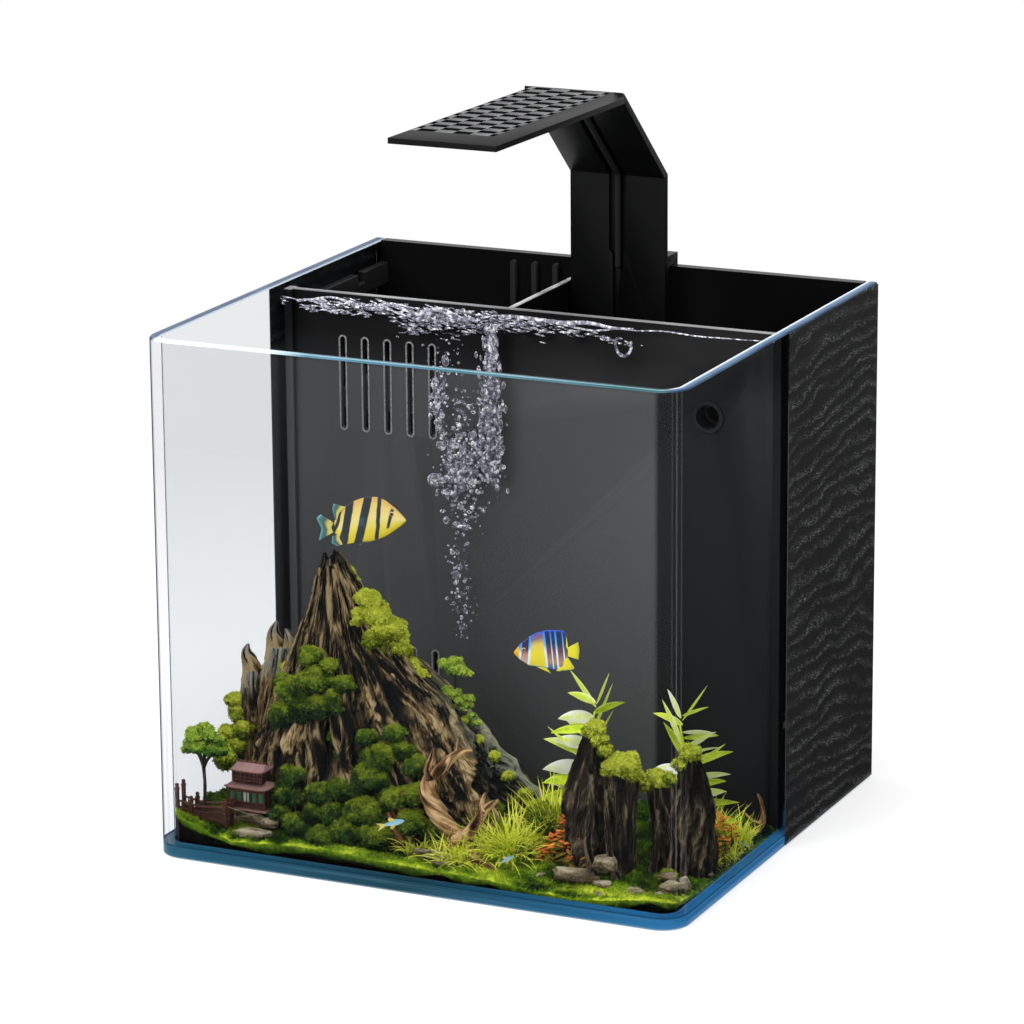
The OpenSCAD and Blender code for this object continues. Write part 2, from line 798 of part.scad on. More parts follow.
module shaft_bushes() {
    color([0.1, 0.1, 0.1]) on_pump_axis() {
        shaft_bush(bore_end);
        shaft_bush(volute_front - bush_len + lift_gap);
    }
}

module impeller_cover() {
    eye_r = 11;
    inlet_r = 2.6;
    boss_r = bush_r + 2;
    color([0.14, 0.14, 0.16]) on_pump_axis() difference() {
        union() {
            bar_x(volute_front, cover_t, cover_r);
            bar_x(volute_front - cover_boss, cover_boss, boss_r);
        }
        bar_x(volute_front - cover_boss - 1, cover_boss + 1, bush_r + push_fit);
        for (a = [0 : 30 : 330]) rotate([a, 0, 0])
            translate([0, eye_r, 0]) bar_x(volute_front - 1, cover_t + 2, inlet_r);
    }
}

module intake_grille() {
    r = volute_r + pump_wall;
    wall = 1.6;
    bars = 16;
    color([0.12, 0.12, 0.14]) on_pump_axis() {
        difference() {
            bar_x(intake_x0, intake_len, r);
            bar_x(intake_x0 - 1, intake_len + 1 - wall, r - wall);
            for (i = [0 : bars - 1]) rotate([i * 360 / bars, 0, 0])
                translate([intake_x0 + 3, -1.2, r / 2]) cube([intake_len - 6, 2.4, r]);
        }
        bar_x(intake_x1, dial_t + loose, dial_pin_r);
    }
}

module flow_dial() {
    x0 = intake_x1 + loose;
    r = volute_r;
    color([0.3, 0.32, 0.36]) on_pump_axis() difference() {
        union() {
            bar_x(x0, dial_t, r);
            translate([x0, -1.5, dial_pin_r + 3]) cube([dial_t + 1.5, 3, r - dial_pin_r - 4]);
        }
        bar_x(x0 - 1, dial_t + 3, dial_pin_r + running);
        for (a = [60, 180, 300]) rotate([a, 0, 0]) translate([0, 0, r * 0.6]) bar_x(x0 - 1, dial_t + 2, 3.5);
    }
}

module suction_cups() {
    spread_y = 13;
    cups_x = [motor_x0 + 10, motor_x0 + motor_len - 8];
    color([0.2, 0.2, 0.2]) for (x = cups_x, side = [-1, 1])
        translate([x, pump_y + side * spread_y, base_t]) rotate_extrude()
            polygon([[0, 1], [4, 1], [7, 0], [7, 0.8], [3, cup_h - 1.5], [3, cup_h], [0, cup_h]]);
}

module riser_pipe() {
    color([0.12, 0.12, 0.13]) translate([return_x, pump_y, riser_z0]) difference() {
        cylinder(h = riser_z1 - riser_z0, r = pipe_r);
        translate([0, 0, -1]) cylinder(h = riser_z1 - riser_z0 + 2, r = pipe_bore_r);
    }
}

// Elbow from the riser into the nozzle, with a socket for the riser's end
module outlet_elbow() {
    sleeve_h = 14;
    sleeve_r = pipe_r + 2;
    tail_y = nozzle_step + loose;
    color([0.15, 0.15, 0.16]) {
        translate([return_x, pump_y, return_z - bend_r - sleeve_h]) difference() {
            cylinder(h = sleeve_h, r = sleeve_r);
            translate([0, 0, -1]) cylinder(h = sleeve_h + 2, r = pipe_r + push_fit);
        }
        translate([return_x, pump_y - bend_r, return_z - bend_r]) rotate([90, 0, 90])
            rotate_extrude(angle = 90) translate([bend_r, 0]) difference() {
                circle(sleeve_r);
                circle(pipe_bore_r);
            }
        slab_y(tail_y, elbow_y0 - tail_y) translate([return_x, return_z]) difference() {
            circle(pipe_r);
            circle(pipe_bore_r);
        }
    }
}

module return_nozzle() {
    mouth = weir_front - nozzle_proud;
    color([0.3, 0.31, 0.33]) translate([return_x, 0, return_z]) difference() {
        slab_y(mouth, nozzle_end - mouth) circle(nozzle_r);
        slab_y(mouth - 1, nozzle_mouth + 2) circle(nozzle_bore_r);
        slab_y(nozzle_step, nozzle_end - nozzle_step + 1) circle(pipe_r + push_fit);
    }
}

module nozzle_seal() {
    color([0.08, 0.08, 0.08]) translate([return_x, 0, return_z]) difference() {
        slab_y(weir_back, seal_t) circle(nozzle_r + seal_wall);
        slab_y(weir_back - 1, seal_t + 2) circle(nozzle_r + push_fit);
    }
}

module cable_gland() {
    gland_r = 5;
    gland_h = 9;
    color([0.08, 0.08, 0.09]) translate([motor_x0 + 12, pump_y, pump_z + motor_half]) {
        cylinder(h = 3, r = gland_r + 1.5);
        cylinder(h = gland_h, r1 = gland_r, r2 = gland_r - 1.5);
    }
}

// ---------------------------------------------------------------- lamp

// Frame of the lamp head: origin under its back end, forward is -Y
module on_head() {
    translate([lamp_x, head_y, head_z]) rotate([-head_tilt, 0, 0]) children();
}

// The sunken cells of the chequered field, cut off at the field's edges
module sunken_cells() {
    cols = ceil(field_w / 2 / cell_w);
    field_l = head_end - 1 - field_y0;
    rows = ceil(field_l / cell_l);
    intersection() {
        for (i = [-cols : cols - 1], j = [0 : rows - 1])
            if ((i + j) % 2 == 0)
                translate([i * cell_w + cell_land, field_y0 + j * cell_l + cell_land, head_t - cell_depth])
                    cube([cell_w - 2 * cell_land, cell_l - 2 * cell_land, cell_depth + 1]);
        translate([-field_w / 2, field_y0, 0]) cube([field_w, field_l, 2 * head_t]);
    }
}

module head_blank() {
    bevel_h = head_t - head_rim;
    half = head_w / 2;
    intersection() {
        slab_y(-head_len, head_len + head_end) polygon([
            [-half, 0], [half, 0], [half, head_rim], [half - side_bevel, head_t],
            [-half + side_bevel, head_t], [-half, head_rim]]);
        slab_x(-half, head_w) polygon([
            [head_end, 0], [-head_len, 0], [-head_len, head_t - bevel_h],
            [-head_len + front_bevel, head_t], [head_end, head_t]]);
    }
}

module head_screw_places() {
    x = tray_w / 2 - tray_frame / 2;
    for (side = [-1, 1], y = [tray_y0 + tray_frame, tray_y1 - tray_frame]) translate([side * x, y, 0]) children();
}

module lamp_plate() {
    color([0.17, 0.17, 0.18]) on_head() difference() {
        head_blank();
        sunken_cells();
        translate([-tray_w / 2 + tray_frame, window_y0, -1])
            cube([tray_w - 2 * tray_frame, window_y1 - window_y0, pocket_depth + 1]);
        translate([-lead_r - loose, window_y1 - 1, -1])
            cube([2 * (lead_r + loose), 1 - window_y1, 2 * lead_r + loose + 1]);
        head_screw_places() translate([0, 0, -1]) cylinder(h = pocket_depth + 1 + loose, r = screw_r + push_fit);
    }
}

module lamp_tray() {
    color([0.1, 0.1, 0.11]) on_head() difference() {
        slab_x(-tray_w / 2, tray_w) polygon([
            [tray_y0 + 4, -tray_drop], [tray_y1 - 2, -tray_drop], [tray_y1, 0], [tray_y0, 0]]);
        translate([-tray_w / 2 + tray_frame, window_y0, -tray_drop - 1])
            cube([tray_w - 2 * tray_frame, window_y1 - window_y0, tray_drop + 2]);
        head_screw_places() translate([0, 0, -tray_drop - 1])
            cylinder(h = tray_drop + 2, r = screw_r + push_fit);
        head_screw_places() translate([0, 0, -tray_drop - 1])
            cylinder(h = 2, r = screw_head_r + push_fit);
    }
}

module light_diffuser() {
    w = tray_w - 2 * tray_frame - 2 * lift_gap;
    color([0.92, 0.94, 0.96]) on_head()
        translate([-w / 2, window_y0 + lift_gap, -tray_drop + 0.3])
            cube([w, window_y1 - window_y0 - 2 * lift_gap, diffuser_t]);
}

module led_board() {
    color([0.9, 0.9, 0.9]) on_head()
        translate([-board_w / 2, window_y0 + lift_gap, board_z])
            cube([board_w, window_y1 - window_y0 - 2 * lift_gap, board_t]);
}

module led_chips() {
    span = window_y1 - window_y0;
    chip_t = min(0.5, board_z + tray_drop - 0.3 - diffuser_t - lift_gap);
    color([1, 0.95, 0.6]) on_head()
        for (i = [0 : chip_cols - 1], j = [0 : chip_rows - 1])
            translate([
                (j + 0.5) * board_w / chip_rows - board_w / 2 - chip_size / 2,
                window_y0 + (i + 0.5) * span / chip_cols - chip_size / 2,
                board_z - chip_t])
                cube([chip_size, chip_size, chip_t]);
}

// Points of the rounded outer bend, from the head's top round to the arm's back
function elbow_arc() = [
    for (i = [0 : 8])
        let (a = 90 - i * arm_angle / 8, c = [head_y - head_back, head_z + head_t - elbow_r])
        [c[0] + elbow_r * cos(a), c[1] + elbow_r * sin(a)]];

module arm_profile() {
    polygon(concat(
        [[mast_front, fold_z], [head_y, head_z], [head_y - head_back, head_z]],
        elbow_arc(),
        [[mast_back, miter_z]]));
}

module lamp_arm() {
    color([0.1, 0.1, 0.11]) difference() {
        slab_x(lamp_x - mast_w / 2, mast_w) arm_profile();
        translate([lamp_x - groove_w / 2, mast_front, fold_z]) rotate([180 - arm_angle, 0, 0])
            translate([0, -10, -groove_d]) cube([groove_w, arm_len + 12, groove_d + 4]);
        translate([lamp_x - groove_w / 2, head_y - head_back - 1, head_z - 1])
            cube([groove_w, head_back + 2, groove_d + 1.5]);
    }
}

module mast_groove() {
    slab_y(mast_front - 1, groove_d + 1) {
        translate([lamp_x, hook_top]) slot_shape(groove_w, fold_z - hook_top + 2 * groove_w);
        translate([lamp_x - low_groove_w / 2, mast_z0 - 1])
            square([low_groove_w, hook_top - mast_z0 + groove_w]);
    }
}

module hook_screw_places() {
    for (side = [-1, 1]) translate([lamp_x + side * 16, 0, tank_h - 14]) children();
}

module lamp_mast() {
    color([0.12, 0.12, 0.13]) difference() {
        slab_x(lamp_x - mast_w / 2, mast_w) polygon([
            [mast_front, mast_z0], [mast_back, mast_z0], [mast_back, miter_z], [mast_front, fold_z]]);
        mast_groove();
        slab_y(mast_front - 1, mast_t + 2) translate([lamp_x, lead_exit_z]) circle(lead_r + 2 * push_fit);
        hook_screw_places() slab_y(mast_back - screw_bite - loose, screw_bite + 1) circle(screw_r + push_fit);
    }
}

module lamp_hook() {
    seat = tank_h + lift_gap;
    inner = pane_in - loose;
    leg = back_y + loose;
    low = tank_h - hook_drop;
    cap_z = hook_top - hook_cap;
    color([0.14, 0.14, 0.15]) difference() {
        union() {
            for (x = [hook_x0, hook_x0 + hook_w - hook_wall]) slab_x(x, hook_wall) polygon([
                [mast_back, tank_h - gusset_drop], [inner, seat], [leg, seat], [leg, hook_top],
                [mast_back, hook_top]]);
            slab_x(hook_x0, hook_w) polygon([
                [mast_back, cap_z], [inner, cap_z], [inner, seat], [leg, seat],
                [leg, low], [hook_back, low], [hook_back, hook_top], [mast_back, hook_top]]);
            translate([hook_x0, mast_back, hook_top - hook_plate_h]) cube([hook_w, hook_wall, hook_plate_h]);
        }
        hook_screw_places() slab_y(mast_back - 1, hook_wall + 2) circle(screw_r + push_fit);
        slab_y(mast_back - 1, hook_wall + 2) translate([lamp_x, lead_exit_z]) circle(lead_r + 2 * push_fit);
        translate([0, socket_y, lead_exit_z]) bar_x(hook_x0 - 1, hook_wall + 2, socket_r + push_fit);
    }
}

module dc_socket() {
    color([0.2, 0.2, 0.2]) translate([0, socket_y, lead_exit_z]) difference() {
        bar_x(hook_x0, socket_len, socket_r);
        bar_x(hook_x0 - 1, socket_len - 2, socket_r - 0.7);
    }
}

// A point of the lamp head's middle plane, given along and above its underside
function head_point(y, z) = [
    lamp_x,
    head_y + y * cos(head_tilt) + z * sin(head_tilt),
    head_z - y * sin(head_tilt) + z * cos(head_tilt)];

// Lead held in the groove, from the light's board to the socket in the hook
module lamp_lead() {
    in_groove = mast_front + lead_lift;
    points = [
        head_point(window_y1 + lead_r, lead_r + push_fit),
        head_point(tray_y1 + lead_r, lead_r + push_fit),
        [lamp_x, head_y + lead_lift * tan(arm_angle / 2), head_z + lead_lift],
        [lamp_x, in_groove, fold_z + lead_lift * tan((90 - arm_angle) / 2)],
        [lamp_x, in_groove, lead_exit_z],
        [lamp_x, socket_y, lead_exit_z],
        [hook_x0 + socket_len + loose, socket_y, lead_exit_z]];
    last = len(points) - 1;
    color([0.05, 0.05, 0.05]) {
        for (i = [0 : last - 1]) rod(points[i], points[i + 1], lead_r);
        for (i = [1 : last - 1]) translate(points[i]) sphere(lead_r);
    }
}

module hook_pads() {
    pad_t = mast_standoff - lift_gap;
    color([0.07, 0.07, 0.07]) for (side = [-1, 1])
        slab_y(mast_back, pad_t) translate([lamp_x + side * 18, mast_z0 + bumper_r + 3]) circle(bumper_r);
}

module hook_screws() {
    color([0.7, 0.7, 0.72]) hook_screw_places() {
        slab_y(mast_back - screw_bite, hook_wall + screw_bite) circle(screw_r);
        slab_y(mast_back + hook_wall, 1.6) circle(screw_head_r);
    }
}

module tray_screws() {
    color([0.7, 0.7, 0.72]) on_head() head_screw_places() {
        translate([0, 0, -tray_drop + 0.2]) cylinder(h = 0.8, r = screw_head_r);
        translate([0, 0, -tray_drop + 0.2]) cylinder(h = tray_drop + pocket_depth - 0.2, r = screw_r);
    }
}

// ---------------------------------------------------------------- landscape

// A place on the bed, as shares of its width from the left and of its depth from the front
function at(place) = [
    -bed_half + place[0] * 2 * bed_half,
    bed_front + place[1] * (bed_back - bed_front)];

// Section of the bed: high at the left pane, low at the right pane
module bed_section() {
    polygon([
        [-bed_half, 0], [bed_half, 0], [bed_half, bed_top - bed_fall], [at([0.6, 0])[0], bed_top - bed_fall / 2],
        [at([0.43, 0])[0], bed_top], [at([0.14, 0])[0], bed_top], [at([0.063, 0])[0], bed_top + bed_climb / 3],
        [-bed_half, bed_top + bed_climb]]);
}

module bed_body() {
    slab_y(bed_front - glass_t, bed_back - bed_front + 2 * glass_t) bed_section();
}

module planted_bed() {
    color([0.25, 0.4, 0.08]) intersection() {
        bed_body();
        translate([0, 0, base_t]) linear_extrude(2 * bed_h + bed_climb) tank_plan(glass_t + loose, bed_back);
    }
}

// What stands on the bed is cut to the bed's surface
module on_bed() {
    difference() {
        children();
        bed_body();
    }
}

// Rock: a foot outline drawn up to a small flat top, both given as places on the bed
module crag(foot, top, r, h) {
    hull() {
        translate([0, 0, base_t]) linear_extrude(1) polygon([for (p = foot) at(p)]);
        translate([at(top)[0], at(top)[1], base_t]) cylinder(h = h, r = r, $fn = 7);
    }
}

module mountain_rock() {
    color([0.32, 0.27, 0.2]) on_bed() {
        crag([
            [0.076, 0.265], [0.201, 0.209], [0.361, 0.195], [0.535, 0.23], [0.653, 0.314],
            [0.674, 0.439], [0.569, 0.669], [0.396, 0.808], [0.188, 0.822], [0.063, 0.683]],
            [0.215, 0.509], peak_r, peak_h);
        crag([[0.021, 0.39], [0.09, 0.279], [0.174, 0.348], [0.167, 0.641], [0.042, 0.641]],
            [0.108, 0.481], peak_r * 0.8, peak_h * 0.7);
        crag([[0.01, 0.432], [0.049, 0.348], [0.104, 0.404], [0.09, 0.613], [0.021, 0.6]],
            [0.05, 0.481], peak_r * 0.7, peak_h * 0.6);
    }
}

module corner_rocks() {
    color([0.3, 0.26, 0.2]) on_bed() {
        crag([
            [0.74, 0.216], [0.778, 0.153], [0.847, 0.16], [0.889, 0.216], [0.892, 0.328],
            [0.84, 0.411], [0.771, 0.397], [0.736, 0.314]],
            [0.792, 0.272], crag_r, crag_h);
        crag([[0.806, 0.174], [0.875, 0.181], [0.889, 0.307], [0.819, 0.348]],
            [0.858, 0.244], crag_r, crag_h * 0.82);
        crag([
            [0.91, 0.265], [0.958, 0.251], [0.99, 0.321], [0.979, 0.46], [0.951, 0.502],
            [0.913, 0.474], [0.901, 0.383]],
            [0.948, 0.404], crag_r, knoll_h);
    }
}

// Branch: round pieces from point to point. A point is a place on the bed, a share of
// the driftwood's height and a share of its radius.
module branch(points) {
    for (i = [0 : len(points) - 2]) hull() for (p = [points[i], points[i + 1]])
        translate([at(p)[0], at(p)[1], base_t + p[2] * wood_h]) sphere(p[3] * wood_r, $fn = 8);
}

module driftwood() {
    color([0.5, 0.33, 0.2]) on_bed() {
        branch([
            [0.597, 0.139, 0.136, 1], [0.549, 0.139, 0.303, 0.8], [0.503, 0.139, 0.545, 0.6],
            [0.493, 0.139, 0.712, 0.48], [0.528, 0.139, 0.848, 0.36], [0.576, 0.139, 1, 0.2]]);
        branch([[0.576, 0.139, 0.318, 0.68], [0.608, 0.139, 0.53, 0.44], [0.618, 0.139, 0.621, 0.24]]);
        branch([[0.434, 0.153, 0.136, 0.8], [0.431, 0.153, 0.379, 0.68], [0.441, 0.153, 0.56, 0.48]]);
        branch([[0.972, 0.92, 0.03, 0.4], [0.976, 0.934, 0.212, 0.28], [0.979, 0.941, 0.364, 0.16]]);
    }
}

// Curved roof with wide eaves, drawn as a section along the ridge
module roof(w, d, z, h) {
    eave = h / 8;
    slab_y(-d / 2, d) translate([0, z]) polygon([
        [-w / 2, 0], [w / 2, 0], [w / 2, eave], [w / 4, h * 0.55], [w / 8, h], [-w / 8, h],
        [-w / 4, h * 0.55], [-w / 2, eave]]);
}

// A storey of the pagoda, centred, as shares of its width, depth and height
module storey(w, d, z0, z1) {
    translate([-w * pagoda_w / 2, -d * pagoda_d / 2, z0 * pagoda_h])
        cube([w * pagoda_w, d * pagoda_d, (z1 - z0) * pagoda_h]);
}

plinth_place = [0.13, 0.168];

module pagoda() {
    color([0.38, 0.16, 0.1]) translate([at(plinth_place)[0], at(plinth_place)[1], bed_top + plinth_h]) {
        storey(1, 1, 0, 0.07);
        storey(0.76, 0.72, 0.07, 0.42);
        roof(pagoda_w, pagoda_d, pagoda_h * 0.42, pagoda_h * 0.2);
        storey(0.44, 0.52, 0.57, 0.77);
        roof(pagoda_w * 0.75, pagoda_d * 0.8, pagoda_h * 0.77, pagoda_h * 0.23);
    }
}

module footbridge() {
    rail_t = bridge_w / 9;
    post = 2 * rail_t;
    x0 = -bed_half + loose;
    y0 = in_front + corner_r - glass_t - post;
    deck_z = bed_top + bridge_h;
    deck_t = bridge_h / 4;
    color([0.4, 0.18, 0.1]) difference() {
        union() {
            translate([x0 + 2 * post, y0, base_t]) cube([bridge_l - 2 * post, bridge_w, deck_z - base_t]);
            translate([x0, y0, deck_z - deck_t]) cube([bridge_l, bridge_w, deck_t + eps]);
            for (y = [y0, y0 + bridge_w - rail_t]) {
                for (share = [0, 0.5, 1]) translate([x0 + share * (bridge_l - post), y, deck_z])
                    cube([post, rail_t, railing_h + rail_t]);
                for (z = [deck_z + rail_t, deck_z + railing_h - rail_t])
                    translate([x0, y, z]) cube([bridge_l, rail_t, rail_t]);
            }
        }
        slab_y(y0 - 1, bridge_w + 2) translate([x0 + bridge_l * 0.56, bed_top - arch_r / 2]) circle(arch_r);
        bed_body();
    }
}

module bonsai() {
    place = at([0.042, 0.13]);
    color([0.2, 0.55, 0.15]) on_bed() translate([place[0], place[1], base_t]) {
        cylinder(h = tree_h, r = trunk_r);
        translate([0, 0, tree_h]) sphere(crown_r);
    }
}

// Stone: a rough low block at a place on the bed, as a share of the largest stone
module stone(place, size) {
    h = bed_top - base_t + stone_h * size;
    translate([at(place)[0], at(place)[1], base_t]) hull() {
        cylinder(h = h - stone_h * size / 2, r = stone_r * size, $fn = 8);
        cylinder(h = h, r = stone_r * size * 0.6, $fn = 6);
    }
}

module stones() {
    color([0.5, 0.46, 0.4]) on_bed() {
        translate([at(plinth_place)[0], at(plinth_place)[1], base_t])
            cylinder(h = bed_top - base_t + plinth_h, r = plinth_r, $fn = 8);
        stone([0.194, 0.072], 0.7);
        stone([0.493, 0.072], 0.82);
        stone([0.799, 0.082], 1);
        stone([0.855, 0.061], 0.76);
        stone([0.952, 0.187], 0.7);
    }
}

// Upright clump, given as a place, a radius and a height above the base pane
module clump(place, r, h) {
    translate([at(place)[0], at(place)[1], base_t]) cylinder(h = h, r = r);
}

module leafy_plants() {
    stem = 0.45;
    color([0.3, 0.6, 0.15]) on_bed() for (p = [[0.691, 0.557, 1], [0.91, 0.684, 0.9]]) {
        clump(p, leafy_r / 3, p[2] * leafy_h);
        translate([0, 0, stem * p[2] * leafy_h]) clump(p, leafy_r, (1 - stem) * p[2] * leafy_h);
    }
}

module grass_clumps() {
    color([0.6, 0.7, 0.15]) on_bed() {
        clump([0.649, 0.132], grass_r, grass_h * 0.95);
        clump([0.705, 0.284], grass_r * 0.73, grass_h);
        clump([0.554, 0.064], grass_r * 0.6, grass_h * 0.45);
    }
}

module red_plants() {
    color([0.65, 0.2, 0.1]) on_bed() {
        clump([0.719, 0.145], grass_r * 0.73, grass_h * 0.9);
        clump([0.979, 0.585], grass_r * 0.53, grass_h * 0.75);
    }
}

base_glass();
glass_shell();
back_pane();
silicone_seams();
wood_skin_left();
wood_skin_right();
weir_panel();
weir_channels();
divider_rails();
chamber_divider();
rib_comb();
wall_ledge();
basket_feet();
media_basket();
basket_handle();
coarse_sponge();
fine_pad();
ceramic_rings();
carbon_bag();
pump_housing();
stator_block();
rotor_magnet();
impeller();
impeller_shaft();
shaft_bushes();
impeller_cover();
intake_grille();
flow_dial();
suction_cups();
riser_pipe();
outlet_elbow();
return_nozzle();
nozzle_seal();
cable_gland();
lamp_plate();
lamp_tray();
led_board();
led_chips();
light_diffuser();
lamp_arm();
lamp_mast();
lamp_hook();
hook_pads();
lamp_lead();
dc_socket();
hook_screws();
tray_screws();
planted_bed();
mountain_rock();
corner_rocks();
driftwood();
pagoda();
footbridge();
bonsai();
stones();
leafy_plants();
grass_clumps();
red_plants();
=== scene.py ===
import itertools
import random
from math import atan2, cos, hypot, pi, radians, sin, sqrt

import bmesh
import bpy
import numpy as np
from mathutils import Matrix, Vector


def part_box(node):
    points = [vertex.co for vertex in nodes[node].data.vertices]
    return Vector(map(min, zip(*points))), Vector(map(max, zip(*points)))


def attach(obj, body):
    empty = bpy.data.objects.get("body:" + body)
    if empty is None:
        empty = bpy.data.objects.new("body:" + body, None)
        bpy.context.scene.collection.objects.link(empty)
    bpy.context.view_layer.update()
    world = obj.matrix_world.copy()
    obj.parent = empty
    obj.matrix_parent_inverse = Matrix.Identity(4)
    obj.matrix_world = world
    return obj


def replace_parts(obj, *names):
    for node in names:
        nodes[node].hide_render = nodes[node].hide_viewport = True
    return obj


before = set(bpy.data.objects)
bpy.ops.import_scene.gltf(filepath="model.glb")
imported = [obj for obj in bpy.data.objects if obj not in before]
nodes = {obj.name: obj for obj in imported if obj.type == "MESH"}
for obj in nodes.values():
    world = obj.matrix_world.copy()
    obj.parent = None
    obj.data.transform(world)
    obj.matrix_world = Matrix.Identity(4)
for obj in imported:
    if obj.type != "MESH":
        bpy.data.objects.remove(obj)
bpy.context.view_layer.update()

mm = 0.001
link = bpy.context.scene.collection.objects.link


class Wire:
    # a shader socket that can be added, scaled and so on
    def __init__(self, paint, socket):
        self.paint, self.socket = paint, socket

    def maths(self, operation, other=0.5, clamp=False, swap=False):
        first, second = (other, self) if swap else (self, other)
        return self.paint.add("Math", {0: first, 1: second}, operation=operation, use_clamp=clamp)

    def __add__(self, other): return self.maths("ADD", other)
    def __radd__(self, other): return self.maths("ADD", other, swap=True)
    def __sub__(self, other): return self.maths("SUBTRACT", other)
    def __rsub__(self, other): return self.maths("SUBTRACT", other, swap=True)
    def __mul__(self, other): return self.maths("MULTIPLY", other)
    def __rmul__(self, other): return self.maths("MULTIPLY", other, swap=True)
    def __truediv__(self, other): return self.maths("DIVIDE", other)
    def __pow__(self, other): return self.maths("POWER", other)

    def above(self, edge, soft=0.0001):
        # 0 below the edge, 1 above it, with a soft step
        return (self - edge).maths("MULTIPLY", 1 / soft, True)

    def clamp(self):
        return self.maths("ADD", 0.0, True)

    def size(self):
        return self.maths("ABSOLUTE")


class Paint:
    # one material, built node by node
    def __init__(self, name):
        self.material = bpy.data.materials.new(name)
        self.material.use_nodes = True
        self.tree = self.material.node_tree
        self.tree.nodes.clear()
        self.output = self.tree.nodes.new("ShaderNodeOutputMaterial")

    def join(self, value, socket):
        if isinstance(value, Wire):
            self.tree.links.new(value.socket, socket)
        else:
            socket.default_value = (*value, 1) if socket.type == "RGBA" else value

    def add(self, kind, inputs={}, out=0, **settings):
        node = self.tree.nodes.new("ShaderNode" + kind)
        for key, value in settings.items():
            setattr(node, key, value)
        for key, value in inputs.items():
            self.join(value, node.inputs[key])
        return Wire(self, node.outputs[out])

    def stretch(self, where, scale):
        return self.add("Mapping", {"Vector": where, "Scale": scale})

    def place(self, scale=(1, 1, 1)):
        return self.stretch(self.add("TexCoord", out="Object"), scale)

    def axis(self, name):
        return self.add("SeparateXYZ", {"Vector": self.add("TexCoord", out="Object")}, name)

    def noise(self, scale, detail=4, rough=0.55, where=None, distortion=0.0):
        return self.add("TexNoise", {"Vector": where or self.place(), "Scale": scale, "Detail": detail,
                                     "Roughness": rough, "Distortion": distortion}, "Fac")

    def cells(self, scale, where=None):
        return self.add("TexVoronoi", {"Vector": where or self.place(), "Scale": scale}, "Distance")

    def ramp(self, value, stops):
        # each stop is its place, red, green and blue
        wire = self.add("ValToRGB", {"Fac": value})
        elements = wire.socket.node.color_ramp.elements
        while len(elements) < len(stops):
            elements.new(0.5)
        for element, (place, *colour) in zip(elements, stops):
            element.position, element.color = place, (*colour, 1)
        return wire

    def mix(self, share, low, high):
        node = self.tree.nodes.new("ShaderNodeMix")
        node.data_type = "RGBA"
        for socket, value in ((0, share), (6, low), (7, high)):
            self.join(value, node.inputs[socket])
        return Wire(self, node.outputs[2])

    def attribute(self, name, out="Fac"):
        return self.add("Attribute", out=out, attribute_name=name)

    def bump(self, height, strength, distance=0.001):
        return self.add("Bump", {"Height": height, "Strength": strength, "Distance": distance})

    def flat(self, kind, colour, **more):
        # a plain shader of one colour
        return self.add(kind, {"Color": colour, **more})

    def body(self, tone, rough, level, normal=None, metal=0.0, ior=1.5):
        inputs = {"Base Color": tone, "Roughness": rough, "Metallic": metal, "IOR": ior, "Specular IOR Level": level}
        return self.add("BsdfPrincipled", inputs | ({"Normal": normal} if normal else {}))

    def over(self, share, below, cover):
        return self.add("MixShader", {0: share, 1: below, 2: cover})

    def finish(self, shader):
        self.tree.links.new(shader.socket, self.output.inputs["Surface"])
        return self.material

    def skin(self, *values, **more):
        return self.finish(self.body(*values, **more))


def latticeNoise(points, seed=0):
    # repeatable smooth noise, -1 to 1, with one value at each whole-number corner
    cell = np.floor(points).astype(np.int64)
    part = points - cell
    ease = part ** 3 * (part * (part * 6 - 15) + 10)
    total = np.zeros(len(points))
    for corner in itertools.product((0, 1), repeat=3):
        c = cell + np.array(corner)
        h = (c[:, 0] * 374761393 + c[:, 1] * 668265263 + c[:, 2] * 974634777 + seed * 1274126177) & 0xFFFFFFFF
        h = ((h ^ (h >> 13)) * 1274126177) & 0xFFFFFFFF
        h = h ^ (h >> 16)
        weight = np.prod(np.where(np.array(corner) == 1, ease, 1 - ease), axis=1)
        total += weight * (h / 0xFFFFFFFF * 2 - 1)
    return total


def fractal(points, octaves=4, seed=0, gain=0.5):
    return sum(gain ** k * latticeNoise(points * 2.03 ** k, seed + k) for k in range(octaves))


def ridges(points, octaves=4, seed=0, gain=0.5):
    # sharp crests and rounded hollows, -1 to 1
    layers = [(1 - np.abs(latticeNoise(points * 2.1 ** k, seed + k)) * 2).clip(-1, 1) for k in range(octaves)]
    return sum(gain ** k * layers[k] for k in range(octaves)) / sum(gain ** k for k in range(octaves))


def settle(piece, body):
    if body:
        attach(piece, body)
    return piece


def makePiece(name, vertices, faces, material, body, smooth=True):
    mesh = bpy.data.meshes.new(name)
    mesh.from_pydata([tuple(v) for v in vertices], [], [tuple(f) for f in faces])
    mesh.validate()
    piece = bpy.data.objects.new(name, mesh)
    link(piece)
    for one in (material if isinstance(material, list) else [material]):
        mesh.materials.append(one)
    if smooth:
        mesh.polygons.foreach_set("use_smooth", [True] * len(mesh.polygons))
    return settle(piece, body)


def setAttribute(piece, name, values, wide=1):
    layer = piece.data.attributes.new(name, "FLOAT_VECTOR" if wide == 3 else "FLOAT", "POINT")
    layer.data.foreach_set("vector" if wide == 3 else "value", np.asarray(values, np.float32).ravel())


def straighten(piece, distance=None):
    # normals outward, after doubled points are merged where a distance is given
    shape = bmesh.new()
    shape.from_mesh(piece.data)
    if distance:
        bmesh.ops.remove_doubles(shape, verts=shape.verts, dist=distance)
    bmesh.ops.recalc_face_normals(shape, faces=shape.faces)
    shape.to_mesh(piece.data)
    shape.free()


